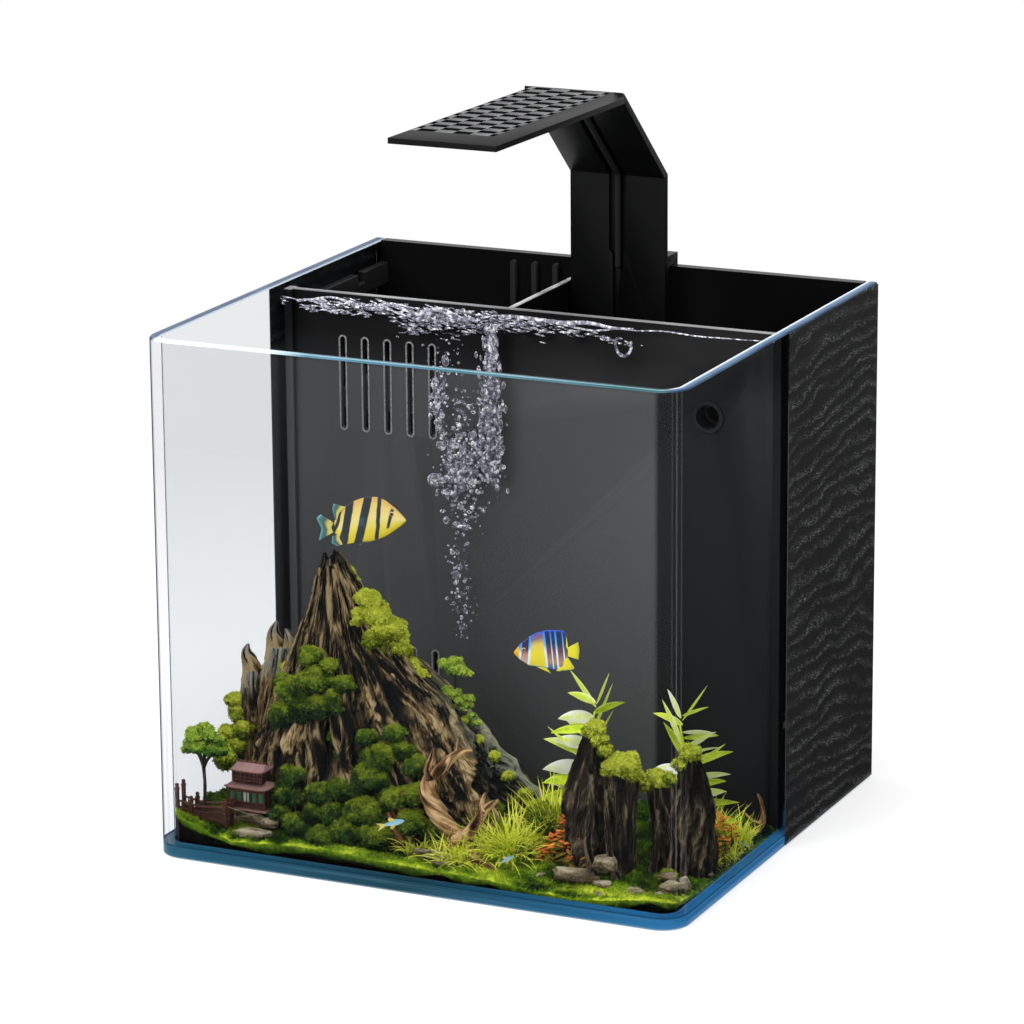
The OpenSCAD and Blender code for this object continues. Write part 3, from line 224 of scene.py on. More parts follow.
def applyAll(piece):
    # the evaluated shape becomes the mesh, and no modifier stays
    seen = bpy.context.evaluated_depsgraph_get()
    mesh = bpy.data.meshes.new_from_object(piece.evaluated_get(seen))
    piece.modifiers.clear()
    piece.data = mesh


def bevelledCopy(node, width, material, body):
    # a CAD node again, with its edges rounded so that they catch the light
    mesh = nodes[node].data.copy()
    piece = bpy.data.objects.new(node.replace("_", " ").title().replace(" ", ""), mesh)
    link(piece)
    shape = bmesh.new()
    shape.from_mesh(mesh)
    bmesh.ops.remove_doubles(shape, verts=shape.verts, dist=2e-6)
    bmesh.ops.dissolve_limit(shape, angle_limit=radians(1.2), verts=shape.verts, edges=shape.edges)
    shape.to_mesh(mesh)
    shape.free()
    mesh.materials.clear()
    mesh.materials.append(material)
    bevel = piece.modifiers.new("edges", "BEVEL")
    bevel.width, bevel.segments = width * mm, 2
    bevel.limit_method, bevel.angle_limit = "ANGLE", radians(28)
    bevel.use_clamp_overlap = bevel.harden_normals = True
    mesh.polygons.foreach_set("use_smooth", [True] * len(mesh.polygons))
    applyAll(piece)
    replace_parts(piece, node)
    settle(piece, body)


def paneGlass():
    # panes let light through with a light tint, and mirror more at a slant; the bent corners carry painted light: a
    # pair of painted highlight lines, a painted lilac sheen band and painted navy shade
    p = Paint("paneGlass")
    x, y, z = p.axis("X"), p.axis("Y"), p.axis("Z")
    facing = p.add("LayerWeight", {"Blend": 0.5}, "Facing")
    clear, deep = p.flat("BsdfTransparent", (0.925, 0.932, 0.938)), p.flat("BsdfTransparent", (0.3, 0.46, 0.58))
    see = p.over(facing ** 7.0, clear, deep)
    see = p.over(facing ** 5.0 * 0.3 + 0.002, see, p.flat("BsdfGlossy", (1, 1, 1), Roughness=0.0))
    # painted highlight: two thin pale grey lines down the front right bend
    bend = (x - places["bendX"]) + (y - places["bendY"])
    line = (1 - ((bend - 0.0037).size() - 0.002).size().above(0.0003, 0.0004)) * x.above(0.1375, 0.0005)
    see = p.over(line * z.above(0.012, 0.01) * 0.055, see, p.flat("BsdfDiffuse", (0.55, 0.57, 0.6)))
    # on the bent corners: a painted lilac sheen band at one slant, and painted navy shade where the bend is seen most
    # aslant
    corner = x.size().above(0.1345, 0.001) * (1 - y.above(-0.1215, 0.001)) * z.above(0.0065, 0.0005)
    lilac = corner * (1 - (facing - 0.44).size().above(0.015, 0.02)) * 0.28
    see = p.over(lilac, see, p.flat("BsdfDiffuse", (0.3, 0.33, 0.5)))
    return p.finish(p.over(corner * facing.above(0.66, 0.1) * 0.85, see, p.flat("BsdfDiffuse", (0.016, 0.04, 0.085))))


def rimGlass():
    # ground edges: navy outside on the left, teal in front and blue on the right, with painted highlights: white
    # inside on the left, white fading to teal along the front, and white inside on the right
    p = Paint("rimGlass")
    side, across = p.axis("X"), p.attribute("across")
    left = p.ramp(across, [(0.0, 0.006, 0.012, 0.03), (0.3, 0.03, 0.07, 0.15), (0.55, 0.012, 0.028, 0.06),
                           (0.8, 0.03, 0.06, 0.11), (0.93, 0.4, 0.46, 0.52)])
    front = p.ramp((side / 0.3 + 0.5).clamp(), [(0.05, 0.7, 0.8, 0.84), (0.24, 0.6, 0.72, 0.76),
                                                (0.32, 0.045, 0.16, 0.23), (0.9, 0.016, 0.085, 0.09)])
    # painted highlight: a pale line along the middle of the front edge
    front = p.mix(across.above(0.3, 0.1) * (1 - across.above(0.5, 0.1)) * 0.4, front, (0.55, 0.66, 0.7))
    right = p.ramp(across, [(0.0, 0.01, 0.03, 0.07), (0.4, 0.03, 0.09, 0.2), (0.6, 0.1, 0.17, 0.26),
                            (0.78, 0.62, 0.68, 0.74)])
    tone = p.mix(1 - side.above(-0.1445, 0.003), front, left)
    tone = p.mix(side.above(0.1405, 0.003), tone, right)
    tone = p.mix((p.noise(30, 2) - 0.5) * 0.5 + 0.08, tone, (0.25, 0.33, 0.42))
    return p.finish(p.over(0.96, p.flat("BsdfTransparent", (0.75, 0.88, 0.95)), p.body(tone, 0.25, 0.04, ior=1.45)))


def baseEdgeGlass():
    # the base pane's edge: deep sea blue, lighter to the right, with a painted highlight as a thin pale line at its
    # lower arris
    p = Paint("baseEdgeGlass")
    tone = p.ramp(((p.axis("X") + 0.15) / 0.3).clamp(), [
        (0.0, 0.02, 0.095, 0.15), (0.1, 0.01, 0.075, 0.135), (0.5, 0.009, 0.042, 0.06),
        (0.8, 0.01, 0.09, 0.19), (1.0, 0.018, 0.14, 0.33)])
    tone = p.mix(p.noise(1, 3, where=p.place((9, 9, 420))).above(0.5, 0.25) * 0.22, tone, (0.1, 0.28, 0.42))
    # painted highlight along the lower arris
    tone = p.mix((1 - p.axis("Z").above(0.0006, 0.0005)) * 0.4, tone, (0.35, 0.52, 0.62))
    return p.skin(tone, 0.12, 0.1, ior=1.45)


def blackSheet():
    # gloss black sheet with faint wiping marks
    p = Paint("blackSheet")
    marks = p.noise(9, 5, 0.6, p.place((1, 1, 0.35)))
    tone = p.ramp(marks, [(0.3, 0.003, 0.003, 0.0032), (0.7, 0.006, 0.006, 0.0064)])
    return p.skin(tone, p.noise(60, 3) * 0.1 + 0.14, 0.05, ior=1.49)


def weirSheet(name, highlightEdge):
    # satin black sheet, with painted light: a painted reflection of the front pane as a grey veil over its lower part
    # up to the corner, painted pale highlights round its slots, and a painted highlight along its top edge
    p = Paint(name)
    x, z = p.axis("X"), p.axis("Z")
    # painted reflection of the front pane: a grey veil below a set height and left of the corner, lighter to the
    # right
    paintedVeil = (1 - x.above(places["paintedVeilRight"], 0.003)) * (1 - z.above(places["paintedVeilTop"], 0.005))
    paintedVeil = paintedVeil * (p.noise(7, 3, 0.5) * 0.16 + (x * 1.2 + 0.78))
    # the veil also lightens the base tone below that height
    veilStep = p.mix(z.above(places["paintedVeilTop"], 0.02), (0.0135, 0.0136, 0.0145), (0.0036, 0.0037, 0.004))
    tone = p.mix(paintedVeil.clamp(), veilStep, (0.084, 0.084, 0.087))
    # painted highlight: pale faces in front of a set depth, round the slots
    rim = 1 - p.axis("Y").above(highlightEdge, 0.00005)
    tone = p.mix(rim * (p.noise(900, 3, 0.6).above(0.42, 0.2) * 0.6 + 0.3), tone, (0.34, 0.34, 0.345))
    # painted highlight: a pale line along the top edge
    cut = z.above(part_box("weir_panel")[1][2] - 0.0006, 0.0002)
    return p.skin(p.mix(cut * (p.noise(24, 2) * 0.7 + 0.15), tone, (0.42, 0.42, 0.43)), 0.45, 0.06)


def woodFoil():
    # charcoal foil with an ash grain: fine pale pores along wavy growth lines; its inner face is painted grey at the
    # front and below a set height, a painted reflection of the front pane
    p = Paint("woodFoil")
    wander = p.noise(1, 3, 0.5, p.place((0, 5.5, 9.0)), 0.2)
    rings = p.axis("Z") * 115 + wander * 7.5 + p.noise(1, 2, 0.5, p.place((0, 34, 50))) * 1.6
    edge = (1 - (rings.maths("FRACT") - 0.22).size() * 2.2).clamp() ** 1.5
    pores = p.noise(1, 2, 0.6, p.place((0, 260, 2600))).above(0.53, 0.08) * (edge * 0.85 + 0.02)
    dashes = p.noise(1, 2, 0.6, p.place((0, 480, 2200))).above(0.6, 0.06) * (edge * 0.6 + 0.22)
    clumps = p.noise(1, 3, 0.6, p.place((0, 22, 70))).above(0.38, 0.22)
    mask = (pores + dashes).clamp() * (clumps * 0.72 + 0.28)
    tone = p.mix(mask, (0.0056, 0.0058, 0.0062), (0.165, 0.167, 0.174))
    # painted reflection of the front pane: a grey veil on the low front part of the inner face
    inner = 1 - p.axis("X").size().above(places["foilSide"], 0.00005)
    inner = inner * (1 - p.axis("Y").above(places["foilVeilBack"], 0.001))
    inner = inner * (1 - p.axis("Z").above(places["foilVeilTop"], 0.004))
    tone = p.mix(inner, tone, (0.075, 0.075, 0.078))
    return p.skin(tone, p.noise(14, 2) * 0.1 + 0.45, 0.16, p.bump(1 - mask, 0.3, 0.0002))


def lampBlack():
    # black anodised metal with a fine bead-blasted grain
    p = Paint("lampBlack")
    grain = p.noise(2600, 2, 0.6)
    tone = p.ramp(p.noise(18, 3), [(0.3, 0.0028, 0.0029, 0.0031), (0.7, 0.005, 0.0052, 0.0055)])
    return p.skin(tone, grain * 0.16 + 0.3, 0.1, p.bump(grain, 0.1, 0.0001))


def chequerBlack():
    # the lamp's top: each cell is painted with shading from dark to pale across it, standing for wedges lit from one
    # side that rise to a shaded step at their end, in a dark frame
    p = Paint("chequerBlack")
    low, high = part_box("lamp_plate")
    middle, start, stop = (low[0] + high[0]) / 2, low[1] + lampTop["front"], high[1] - lampTop["back"]
    x, y, grain = p.axis("X"), p.axis("Y"), p.noise(2600, 2, 0.6)
    across, along = (x - middle) / lampTop["cellWide"], (y - start) / lampTop["cellLong"]
    column = across.maths("FLOOR") + along.maths("FLOOR")
    lift = across.maths("FRACT")
    # painted light and shade across each raised and each sunk cell
    wedgeShading = p.ramp(lift, [(0.0, 0.04, 0.041, 0.043), (0.55, 0.068, 0.069, 0.072), (1.0, 0.12, 0.121, 0.126)])
    sunkShading = p.ramp(lift, [(0.0, 0.006, 0.006, 0.0065), (0.3, 0.014, 0.014, 0.015), (0.55, 0.045, 0.046, 0.048),
                         (1.0, 0.13, 0.131, 0.136)])
    cells = p.mix((column * 0.5).maths("FRACT").above(0.25, 0.01), sunkShading, wedgeShading)
    cells = p.mix(grain * 0.25, cells, (0.03, 0.03, 0.032))
    field = 1 - (x - middle).size().above((high[0] - low[0]) / 2 - lampTop["side"], 0.0001)
    field = field * y.above(start, 0.0001) * (1 - y.above(stop, 0.0001))
    up = p.add("SeparateXYZ", {"Vector": p.add("NewGeometry", out="Normal")}, "Z").above(0.9, 0.05)
    tone = p.mix(field * up, (0.0036, 0.0037, 0.004), cells)
    return p.skin(tone, grain * 0.16 + 0.32, 0.1, p.bump(grain, 0.15, 0.0001))


def plainFinish(name, colour, rough, spread=0.15, scale=300, metal=0.0, bumpy=0.05, dark=0.75, level=0.5):
    # moulded or machined surfaces: slight colour drift and a fine skin
    p = Paint(name)
    grain = p.noise(scale * 4, 2)
    tone = p.ramp(p.noise(scale / 12, 3), [(0.3, *(c * dark for c in colour)), (0.7, *colour)])
    return p.skin(tone, grain * spread + (rough - spread / 2), level, p.bump(grain, bumpy, 0.0002), metal)


def poreFoam(name, light, dark, scale):
    # open-cell foam or floss, its pores painted darker: painted shade inside them
    p = Paint(name)
    cells = p.cells(scale)
    return p.skin(p.ramp(cells, [(0.15, *dark), (0.55, *light)]), 0.95, 0.5, p.bump(cells, 0.9, 0.0015))


def clearSeam():
    # cured sealant: sea blue where it lies on the base, nearly black further up
    p = Paint("clearSeam")
    tone = p.mix(p.axis("Z").above(places["seamFoot"], 0.002), (0.008, 0.07, 0.14), (0.03, 0.031, 0.033))
    return p.skin(tone, p.noise(200, 2) * 0.1 + 0.25, 0.2)


def dividerSheet():
    # black sheet with a painted highlight along its top
    p = Paint("dividerSheet")
    bright = p.ramp(p.noise(60, 3), [(0.35, 0.3, 0.3, 0.31), (0.65, 0.75, 0.75, 0.77)])
    tone = p.mix(p.axis("Z").above(places["dividerHighlightFoot"], 0.0004), (0.0035, 0.0035, 0.0038), bright)
    return p.skin(tone, p.noise(60, 3) * 0.1 + 0.2, 0.06)


places = {  # where finishes change, in metres
    "bendX": 0.135, "bendY": -0.122, "paintedVeilRight": 0.0715, "paintedVeilTop": 0.236, "seamFoot": 0.009, "dividerHighlightFoot": 0.2678,
    "foilSide": 0.15025, "foilVeilBack": 0.03, "foilVeilTop": 0.24}
# the chequered field on the lamp's top: its cells, and the plain frame round it
lampTop = {"cellWide": 0.01, "cellLong": 0.007, "front": 0.0117, "back": 0.0011, "side": 0.007}
slotHighlights = {"weirSheet": 0.01475, "channelSheet": 0.0}  # how far back the painted pale highlights round the slots reach
plain = {  # colour, roughness and what else differs
    "ribs": ((0.022, 0.022, 0.023), 0.35, {"level": 0.25}),
    "rubber": ((0.01, 0.01, 0.01), 0.7, {"level": 0.22}),
    "moulded": ((0.022, 0.022, 0.024), 0.5, {"bumpy": 0.2}),
    "greyPlastic": ((0.075, 0.077, 0.082), 0.42, {"bumpy": 0.15}),
    "nozzleBlack": ((0.012, 0.012, 0.013), 0.35, {"level": 0.15}),
    "darkPlastic": ((0.04, 0.041, 0.044), 0.35, {"bumpy": 0.1}),
    "whitePlastic": ((0.82, 0.82, 0.8), 0.4, {"dark": 0.93}),
    "steel": ((0.58, 0.58, 0.6), 0.25, {"metal": 1.0, "dark": 0.85}),
    "rotorMagnet": ((0.1, 0.1, 0.11), 0.45, {}),
    "resin": ((0.055, 0.04, 0.035), 0.3, {}),
    "shaftCeramic": ((0.9, 0.9, 0.91), 0.15, {"dark": 0.96}),
    "ringCeramic": ((0.8, 0.7, 0.57), 0.9, {"bumpy": 0.8, "scale": 900}),
    "board": ((0.84, 0.86, 0.86), 0.4, {"dark": 0.95}),
    "phosphor": ((0.95, 0.82, 0.25), 0.3, {"dark": 0.9}),
    "opal": ((0.88, 0.91, 0.94), 0.35, {"dark": 0.96}),
}
foam = {  # wall colour, pore colour (painted shade inside the pores) and pores per metre
    "blueFoam": ((0.05, 0.1, 0.26), (0.004, 0.008, 0.03), 420),
    "whiteFloss": ((0.88, 0.9, 0.9), (0.45, 0.48, 0.5), 800),
    "carbon": ((0.05, 0.05, 0.055), (0.004, 0.004, 0.004), 330),
}
finish = {
    "paneGlass": paneGlass(), "rimGlass": rimGlass(), "baseEdge": baseEdgeGlass(), "blackSheet": blackSheet(),
    "woodFoil": woodFoil(), "lampBlack": lampBlack(), "silicone": clearSeam(), "divider": dividerSheet(),
    "chequer": chequerBlack(),
}
finish |= {name: weirSheet(name, edge) for name, edge in slotHighlights.items()}
finish |= {name: plainFinish(name, colour, rough, **more) for name, (colour, rough, more) in plain.items()}
finish |= {name: poreFoam(name, *values) for name, values in foam.items()}

cadFinish = {  # the CAD nodes that wear each finish
    "blackSheet": "back_pane", "silicone": "silicone_seams", "woodFoil": "wood_skin_left wood_skin_right",
    "ribs": "rib_comb", "steel": "basket_handle hook_screws tray_screws", "blueFoam": "coarse_sponge",
    "whiteFloss": "fine_pad", "ringCeramic": "ceramic_rings", "carbon": "carbon_bag", "resin": "stator_block",
    "rotorMagnet": "rotor_magnet", "whitePlastic": "impeller", "shaftCeramic": "impeller_shaft",
    "rubber": "shaft_bushes suction_cups nozzle_seal cable_gland hook_pads lamp_lead", "greyPlastic": "flow_dial",
    "moulded": "basket_feet impeller_cover intake_grille riser_pipe outlet_elbow", "nozzleBlack": "return_nozzle",
    "board": "led_board", "phosphor": "led_chips", "opal": "light_diffuser", "darkPlastic": "dc_socket",
}
for name, wearers in cadFinish.items():
    for node in wearers.split():
        nodes[node].data.materials.clear()
        nodes[node].data.materials.append(finish[name])

rounded = {  # edge radius in mm, finish, body and slot
    "weir_panel": (0.35, "weirSheet", "tank", "black_acrylic"),
    "weir_channels": (0.3, "channelSheet", "tank", "black_acrylic"),
    "divider_rails": (0.25, "blackSheet", "tank", "black_acrylic"),
    "chamber_divider": (0.35, "divider", "divider", "black_acrylic"),
    "wall_ledge": (0.5, "nozzleBlack", "tank", "black_acrylic"),
    "media_basket": (0.45, "moulded", "basket", "basket_plastic"),
    "pump_housing": (1.2, "moulded", "tank", "pump_plastic"),
    "lamp_plate": (0.35, "chequer", "lamp", "black_anodised"),
    "lamp_tray": (0.4, "lampBlack", "lamp", "black_anodised"),
    "lamp_arm": (0.45, "lampBlack", "lamp", "black_anodised"),
    "lamp_mast": (0.45, "lampBlack", "lamp", "black_anodised"),
    "lamp_hook": (0.5, "lampBlack", "lamp", "black_anodised"),
}
for node, (width, name, body, slot) in rounded.items():
    bevelledCopy(node, width, finish[name], body)
print("CAD pieces finished")

# the panes, in mm; the seam is the gap under the bent pane
tank = {"width": 299.96, "depth": 273.96, "height": 279, "wall": 5.98, "base": 6, "bend": 15, "seam": 0.34,
        "ground": 0.7, "baseGround": 0.5, "bendSteps": 14}


def gridFaces(rows, columns, closed=False):
    return [(r * columns + c, r * columns + (c + 1) % columns, (r + 1) * columns + (c + 1) % columns,
             (r + 1) * columns + c) for r in range(rows - 1) for c in range(columns if closed else columns - 1)]


def gridRim(rows, columns):
    # the points round the edge of a grid, in order
    last = (rows - 1) * columns
    return [*range(columns), *range(2 * columns - 1, last + columns, columns),
            *range(last + columns - 2, last - 1, -1), *range(last - columns, 0, -columns)]


def ends(count, last):
    # the two faces that close a tube: its first ring and its last
    return [list(range(count))[::-1], list(range(last, last + count))]


def outline(inset, back):
    # plan of the panes from the back left corner round the front to the back right corner
    half, front, radius = tank["width"] / 2 - inset, -tank["depth"] / 2 + inset, tank["bend"] - inset
    between = back * 0.5 + (front + radius) * 0.5
    bend = []
    for step in range(1, tank["bendSteps"] + 1):
        turn = pi / 2 * step / tank["bendSteps"]
        bend.append((half - radius + radius * cos(turn), front + radius - radius * sin(turn)))
    left = [(-half, back), (-half, between), (-half, front + radius)] + [(-x, y) for x, y in bend]
    return left + bend[::-1] + [(half, front + radius), (half, between), (half, back)]


def paneRings(rings):
    # each ring is an inset, a height and where its back lies
    return [(x * mm, y * mm, z * mm) for inset, z, back in rings for x, y in outline(inset, back)]


def makeShell():
    # the bent pane: a ring of eight points carried round the outline, with ground edges
    cut, wall, back = tank["ground"], tank["wall"], tank["depth"] / 2
    low, high = tank["base"] + tank["seam"], tank["height"]
    ring = [(0, low + cut), (0, high - cut), (cut, high), (wall - cut, high),
            (wall, high - cut), (wall, low + cut), (wall - cut, low), (cut, low)]
    vertices = paneRings([(inset, z, back) for inset, z in ring])
    sides = len(ring)
    count = len(vertices) // sides
    faces, kinds = [], []
    for k in range(sides):
        a, b = k * count, (k + 1) % sides * count
        faces += [(a + i, b + i, b + i + 1, a + i + 1) for i in range(count - 1)]
        kinds += [0 if k in (0, 4) else (1 if k < 4 else 2)] * (count - 1)
    faces += [[k * count for k in range(sides)], [k * count + count - 1 for k in range(sides)][::-1]]
    coats = [finish[name] for name in ("paneGlass", "rimGlass", "baseEdge", "blackSheet")]
    piece = makePiece("bentPane", vertices, faces, coats, "tank", smooth=False)
    piece.data.polygons.foreach_set("material_index", kinds + [3, 3])
    setAttribute(piece, "across", np.repeat([inset / wall for inset, z in ring], count))
    straighten(piece)
    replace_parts(piece, "glass_shell")


def makeBase():
    cut, back, high = tank["baseGround"], tank["depth"] / 2, tank["base"]
    rings = [(cut, 0), (0, cut), (0, high - cut), (cut, high)]
    vertices = paneRings([(inset, z, back - inset) for inset, z in rings])
    count = len(vertices) // len(rings)
    faces = gridFaces(len(rings), count, True) + ends(count, 3 * count)
    piece = makePiece("basePane", vertices, faces, finish["baseEdge"], "tank", smooth=False)
    straighten(piece)
    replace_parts(piece, "base_glass")


makeShell()
makeBase()
print("panes made")

# the room for the landscape, in mm; no point of it leaves this box
inside = {"x": 143.4, "front": -130.3, "back": 12.2, "floor": 6.05}


class Heap:
    # gathers many small shapes, with values at their points, into one piece
    def __init__(self):
        self.points, self.faces, self.values, self.count = [], [], [], 0

    def put(self, points, faces, **values):
        self.points.append(np.asarray(points, float))
        self.faces += [[self.count + i for i in face] for face in faces]
        self.values.append(values)
        self.count += len(points)

    def piece(self, name, material, slot, smooth=True, lowest=inside["floor"]):
        points = np.concatenate(self.points)
        points[:, 2] = points[:, 2].clip(lowest, None)
        points[:, 0] = points[:, 0].clip(-inside["x"], inside["x"])
        points[:, 1] = points[:, 1].clip(inside["front"], inside["back"])
        piece = makePiece(name, points * mm, self.faces, finish[material], "tank", smooth)
        for key in sorted({key for values in self.values for key in values}):
            wide = 3 if key == "flow" else 1
            parts = []
            for values, group in zip(self.values, self.points):
                value = np.asarray(values.get(key, [0.5] * wide), float).reshape(-1, wide)
                parts.append(np.broadcast_to(value, (len(group), wide)))
            setAttribute(piece, key, np.concatenate(parts), wide)
        return piece


def turned(points, angle, other=1):
    # points turned in the plane of x and one other axis
    c, s = cos(angle), sin(angle)
    result = points.copy()
    result[:, 0] = points[:, 0] * c - points[:, other] * s
    result[:, other] = points[:, 0] * s + points[:, other] * c
    return result


def plan(x, y, extra=0):
    # points for noise that runs over the ground
    return np.stack([x, y, x * 0 + extra], 1)


def smoothPath(points, count):
    points = np.asarray(points, float)
    knots = np.vstack([2 * points[0] - points[1], points, 2 * points[-1] - points[-2]])
    t = np.linspace(0, len(points) - 1 - 1e-6, count)
    i = t.astype(int)
    f = (t - i)[:, None]
    a, b, c, d = knots[i], knots[i + 1], knots[i + 2], knots[i + 3]
    return 0.5 * (2 * b + (c - a) * f + (2 * a - 5 * b + 4 * c - d) * f ** 2 + (3 * b - 3 * c + d - a) * f ** 3)


def limb(heap, path, sides=20, rings=40, seed=0, flute=0.3, twist=1.2, pitch=0.06, **values):
    # a tube along points (x, y, z, radius), with grooves winding round it
    line = smoothPath(path, rings)
    centre, radius = line[:, :3], line[:, 3]
    ahead = np.gradient(centre, axis=0)
    ahead /= np.linalg.norm(ahead, axis=1)[:, None]
    side = np.cross(ahead[0], (0.31, 0.22, 0.92) if abs(ahead[0][2]) < 0.8 else (0.9, 0.3, 0.1))
    right, up = [], []
    for one in ahead:
        side = side - one * side.dot(one)
        side /= np.linalg.norm(side)
        right.append(side)
        up.append(np.cross(one, side))
    far = np.concatenate([[0], np.cumsum(np.linalg.norm(np.diff(centre, axis=0), axis=1))])
    turn = np.linspace(0, 2 * pi, sides, endpoint=False)
    wind = turn[None, :] + twist * far[:, None] * 0.05
    along = np.repeat(far[:, None] * pitch, sides, 1)
    flow = np.stack([np.cos(wind) * 1.3, np.sin(wind) * 1.3, along], 2).reshape(-1, 3)
    groove = (ridges(flow, 3, seed) * 0.5 + 0.5).reshape(rings, sides)
    reach = radius[:, None] * (1 + flute * (groove - 0.5))
    c, s = np.cos(turn)[None, :, None], np.sin(turn)[None, :, None]
    around = c * np.array(right)[:, None] + s * np.array(up)[:, None]
    faces = gridFaces(rings, sides, True) + ends(sides, (rings - 1) * sides)
    points = (centre[:, None] + reach[..., None] * around).reshape(-1, 3)
    heap.put(points, faces, ridge=groove.ravel(), flow=flow, **values)


def limbs(heap, table):
    for path, *shape in table:
        limb(heap, path, *shape)


def sphereShape(level):
    shape = bmesh.new()
    bmesh.ops.create_icosphere(shape, subdivisions=level, radius=1)
    return takeShape(shape)


def takeShape(shape):
    # the points and faces of a working mesh, which is then freed
    points = np.array([v.co[:] for v in shape.verts])
    shape.verts.index_update()
    faces = [[v.index for v in f.verts] for f in shape.faces]
    shape.free()
    return points, faces


ball = {level: sphereShape(level) for level in (1, 2, 3)}


def blob(heap, x, y, z, radius, bright, seed, flat=0.85, level=3, rough=0.3):
    points, faces = ball[level]
    swell = 1 + rough * fractal(points * 1.9 + seed * 7.3, 4, seed)
    shaped = points * swell[:, None] * radius * np.array([1, 1, flat])
    # painted light: the upper part and the bulges of each blob get a lighter shade
    shade = (bright + 0.42 * points[:, 2] + 0.7 * (swell - 1)).clip(0, 1)
    grow = (0.55 + 0.6 * points[:, 2] - 0.35 * points[:, 1]).clip(0, 1)
    heap.put(shaped + (x, y, z), faces, shade=shade, grow=grow)


def sidesAt(reaches, z):
    # reach to the right, back, left and front at a height
    heights = [h for h, *r in reaches][::-1]
    return [np.interp(z, heights, [r[k % len(r)] for h, *r in reaches][::-1]) for k in range(4)]


def loft(heap, centre, reaches, across, rings, seed, jag=5, flute=0.6, view=0, twist=0.4, holes=(), grain=1.0,
         lobes=0.55, lean=(0, 0), grit=1.0, spread=0.0):
    # a rock or stump: rings of changing reach from the foot up to a broken crown
    top, foot = reaches[0][0], reaches[-1][0]
    turn = np.linspace(0, 2 * pi, across, endpoint=False)
    t, l = np.meshgrid(turn, np.linspace(0, 1, rings) ** 0.9)
    crown = ridges(np.stack([np.cos(turn) * 1.7, np.sin(turn) * 1.7, turn * 0], 1), 3, seed + 5)
    tip = top - jag * (1 - (crown * 0.5 + 0.5).clip(0, 1))
    tip += top - tip.max()
    z = foot + (tip[None, :] - foot) * l
    sides = sidesAt(reaches, z + (top - tip[None, :]) * l)
    c, s = np.cos(t - view), np.sin(t - view)
    a, b = np.where(c > 0, sides[0], sides[2]), np.where(s > 0, sides[1], sides[3])
    reach = 1 / np.sqrt((c / a) ** 2 + (s / b) ** 2)
    wind = t + twist * (1 - l)
    wide = 2.2 * lobes * (1 + spread * (reach[:1] / reach[0].min() - 1))  # more flutes where the foot reaches far
    flow = np.stack([np.cos(wind) * wide, np.sin(wind) * wide, z * 0.022 * grain], 2).reshape(-1, 3)
    warp = (0.35 * fractal(flow * 1.4 + 9, 2, seed + 3))[:, None]
    ridge, fine, finest = (ridges(flow * size + warp, *shape).reshape(t.shape) * 0.5 + 0.5 for size, *shape in (
        ((1, 1, 1), 4, seed, 0.55), ((3.2, 3.2, 2.4), 3, seed + 8), ((8.0, 8.0, 4.0), 2, seed + 4)))
    x, y = centre[0] + reach * np.cos(t), centre[1] + reach * np.sin(t)
    deep = np.zeros(t.shape)
    for hx, hy, hz, width, tall, depth in holes:
        near = ((x - hx) ** 2 + (y - hy) ** 2) / width ** 2 + ((z - hz) / tall) ** 2
        deep = np.maximum(deep, np.exp(-near ** 1.5) * depth)
    push = reach * flute * (ridge - 0.62) * np.where(ridge > 0.62, 0.5, 1.0)
    push = push + np.minimum(reach, 22) * grit * (0.15 * (fine - 0.5) + 0.05 * (finest - 0.5)) - deep
    reach = np.maximum(reach + push, reach * 0.25)
    x, y = centre[0] + reach * np.cos(t) + lean[0] * l, centre[1] + reach * np.sin(t) + lean[1] * l
    rows = [np.stack([x, y, z], 2)]
    lip = rows[0][-1]
    middle = lip.mean(axis=0)
    for share, drop in ((0.72, 1.5), (0.4, 5.0)):  # the crown falls in towards its middle
        inner = middle + (lip - middle) * share
        inner[:, 2] = np.minimum(lip[:, 2], middle[2]) - drop
        rows.append(inner[None])
    extra = 2 * across
    # painted shade: the paint value falls towards black in the holes and on the sunken crown
    crest = ((ridge * 0.5 + fine * 0.36 + finest * 0.14) * (1 - (deep / 6).clip(0, 1))).ravel()
    faces = gridFaces(rings + 2, across, True) + ends(across, (rings + 1) * across)
    heap.put(np.concatenate(rows).reshape(-1, 3), faces, ridge=np.concatenate([crest, np.full(extra, 0.25)]),
             flow=np.concatenate([flow, flow[-extra:] * 0.9]), pale=np.concatenate([l.ravel(), np.ones(extra)]))


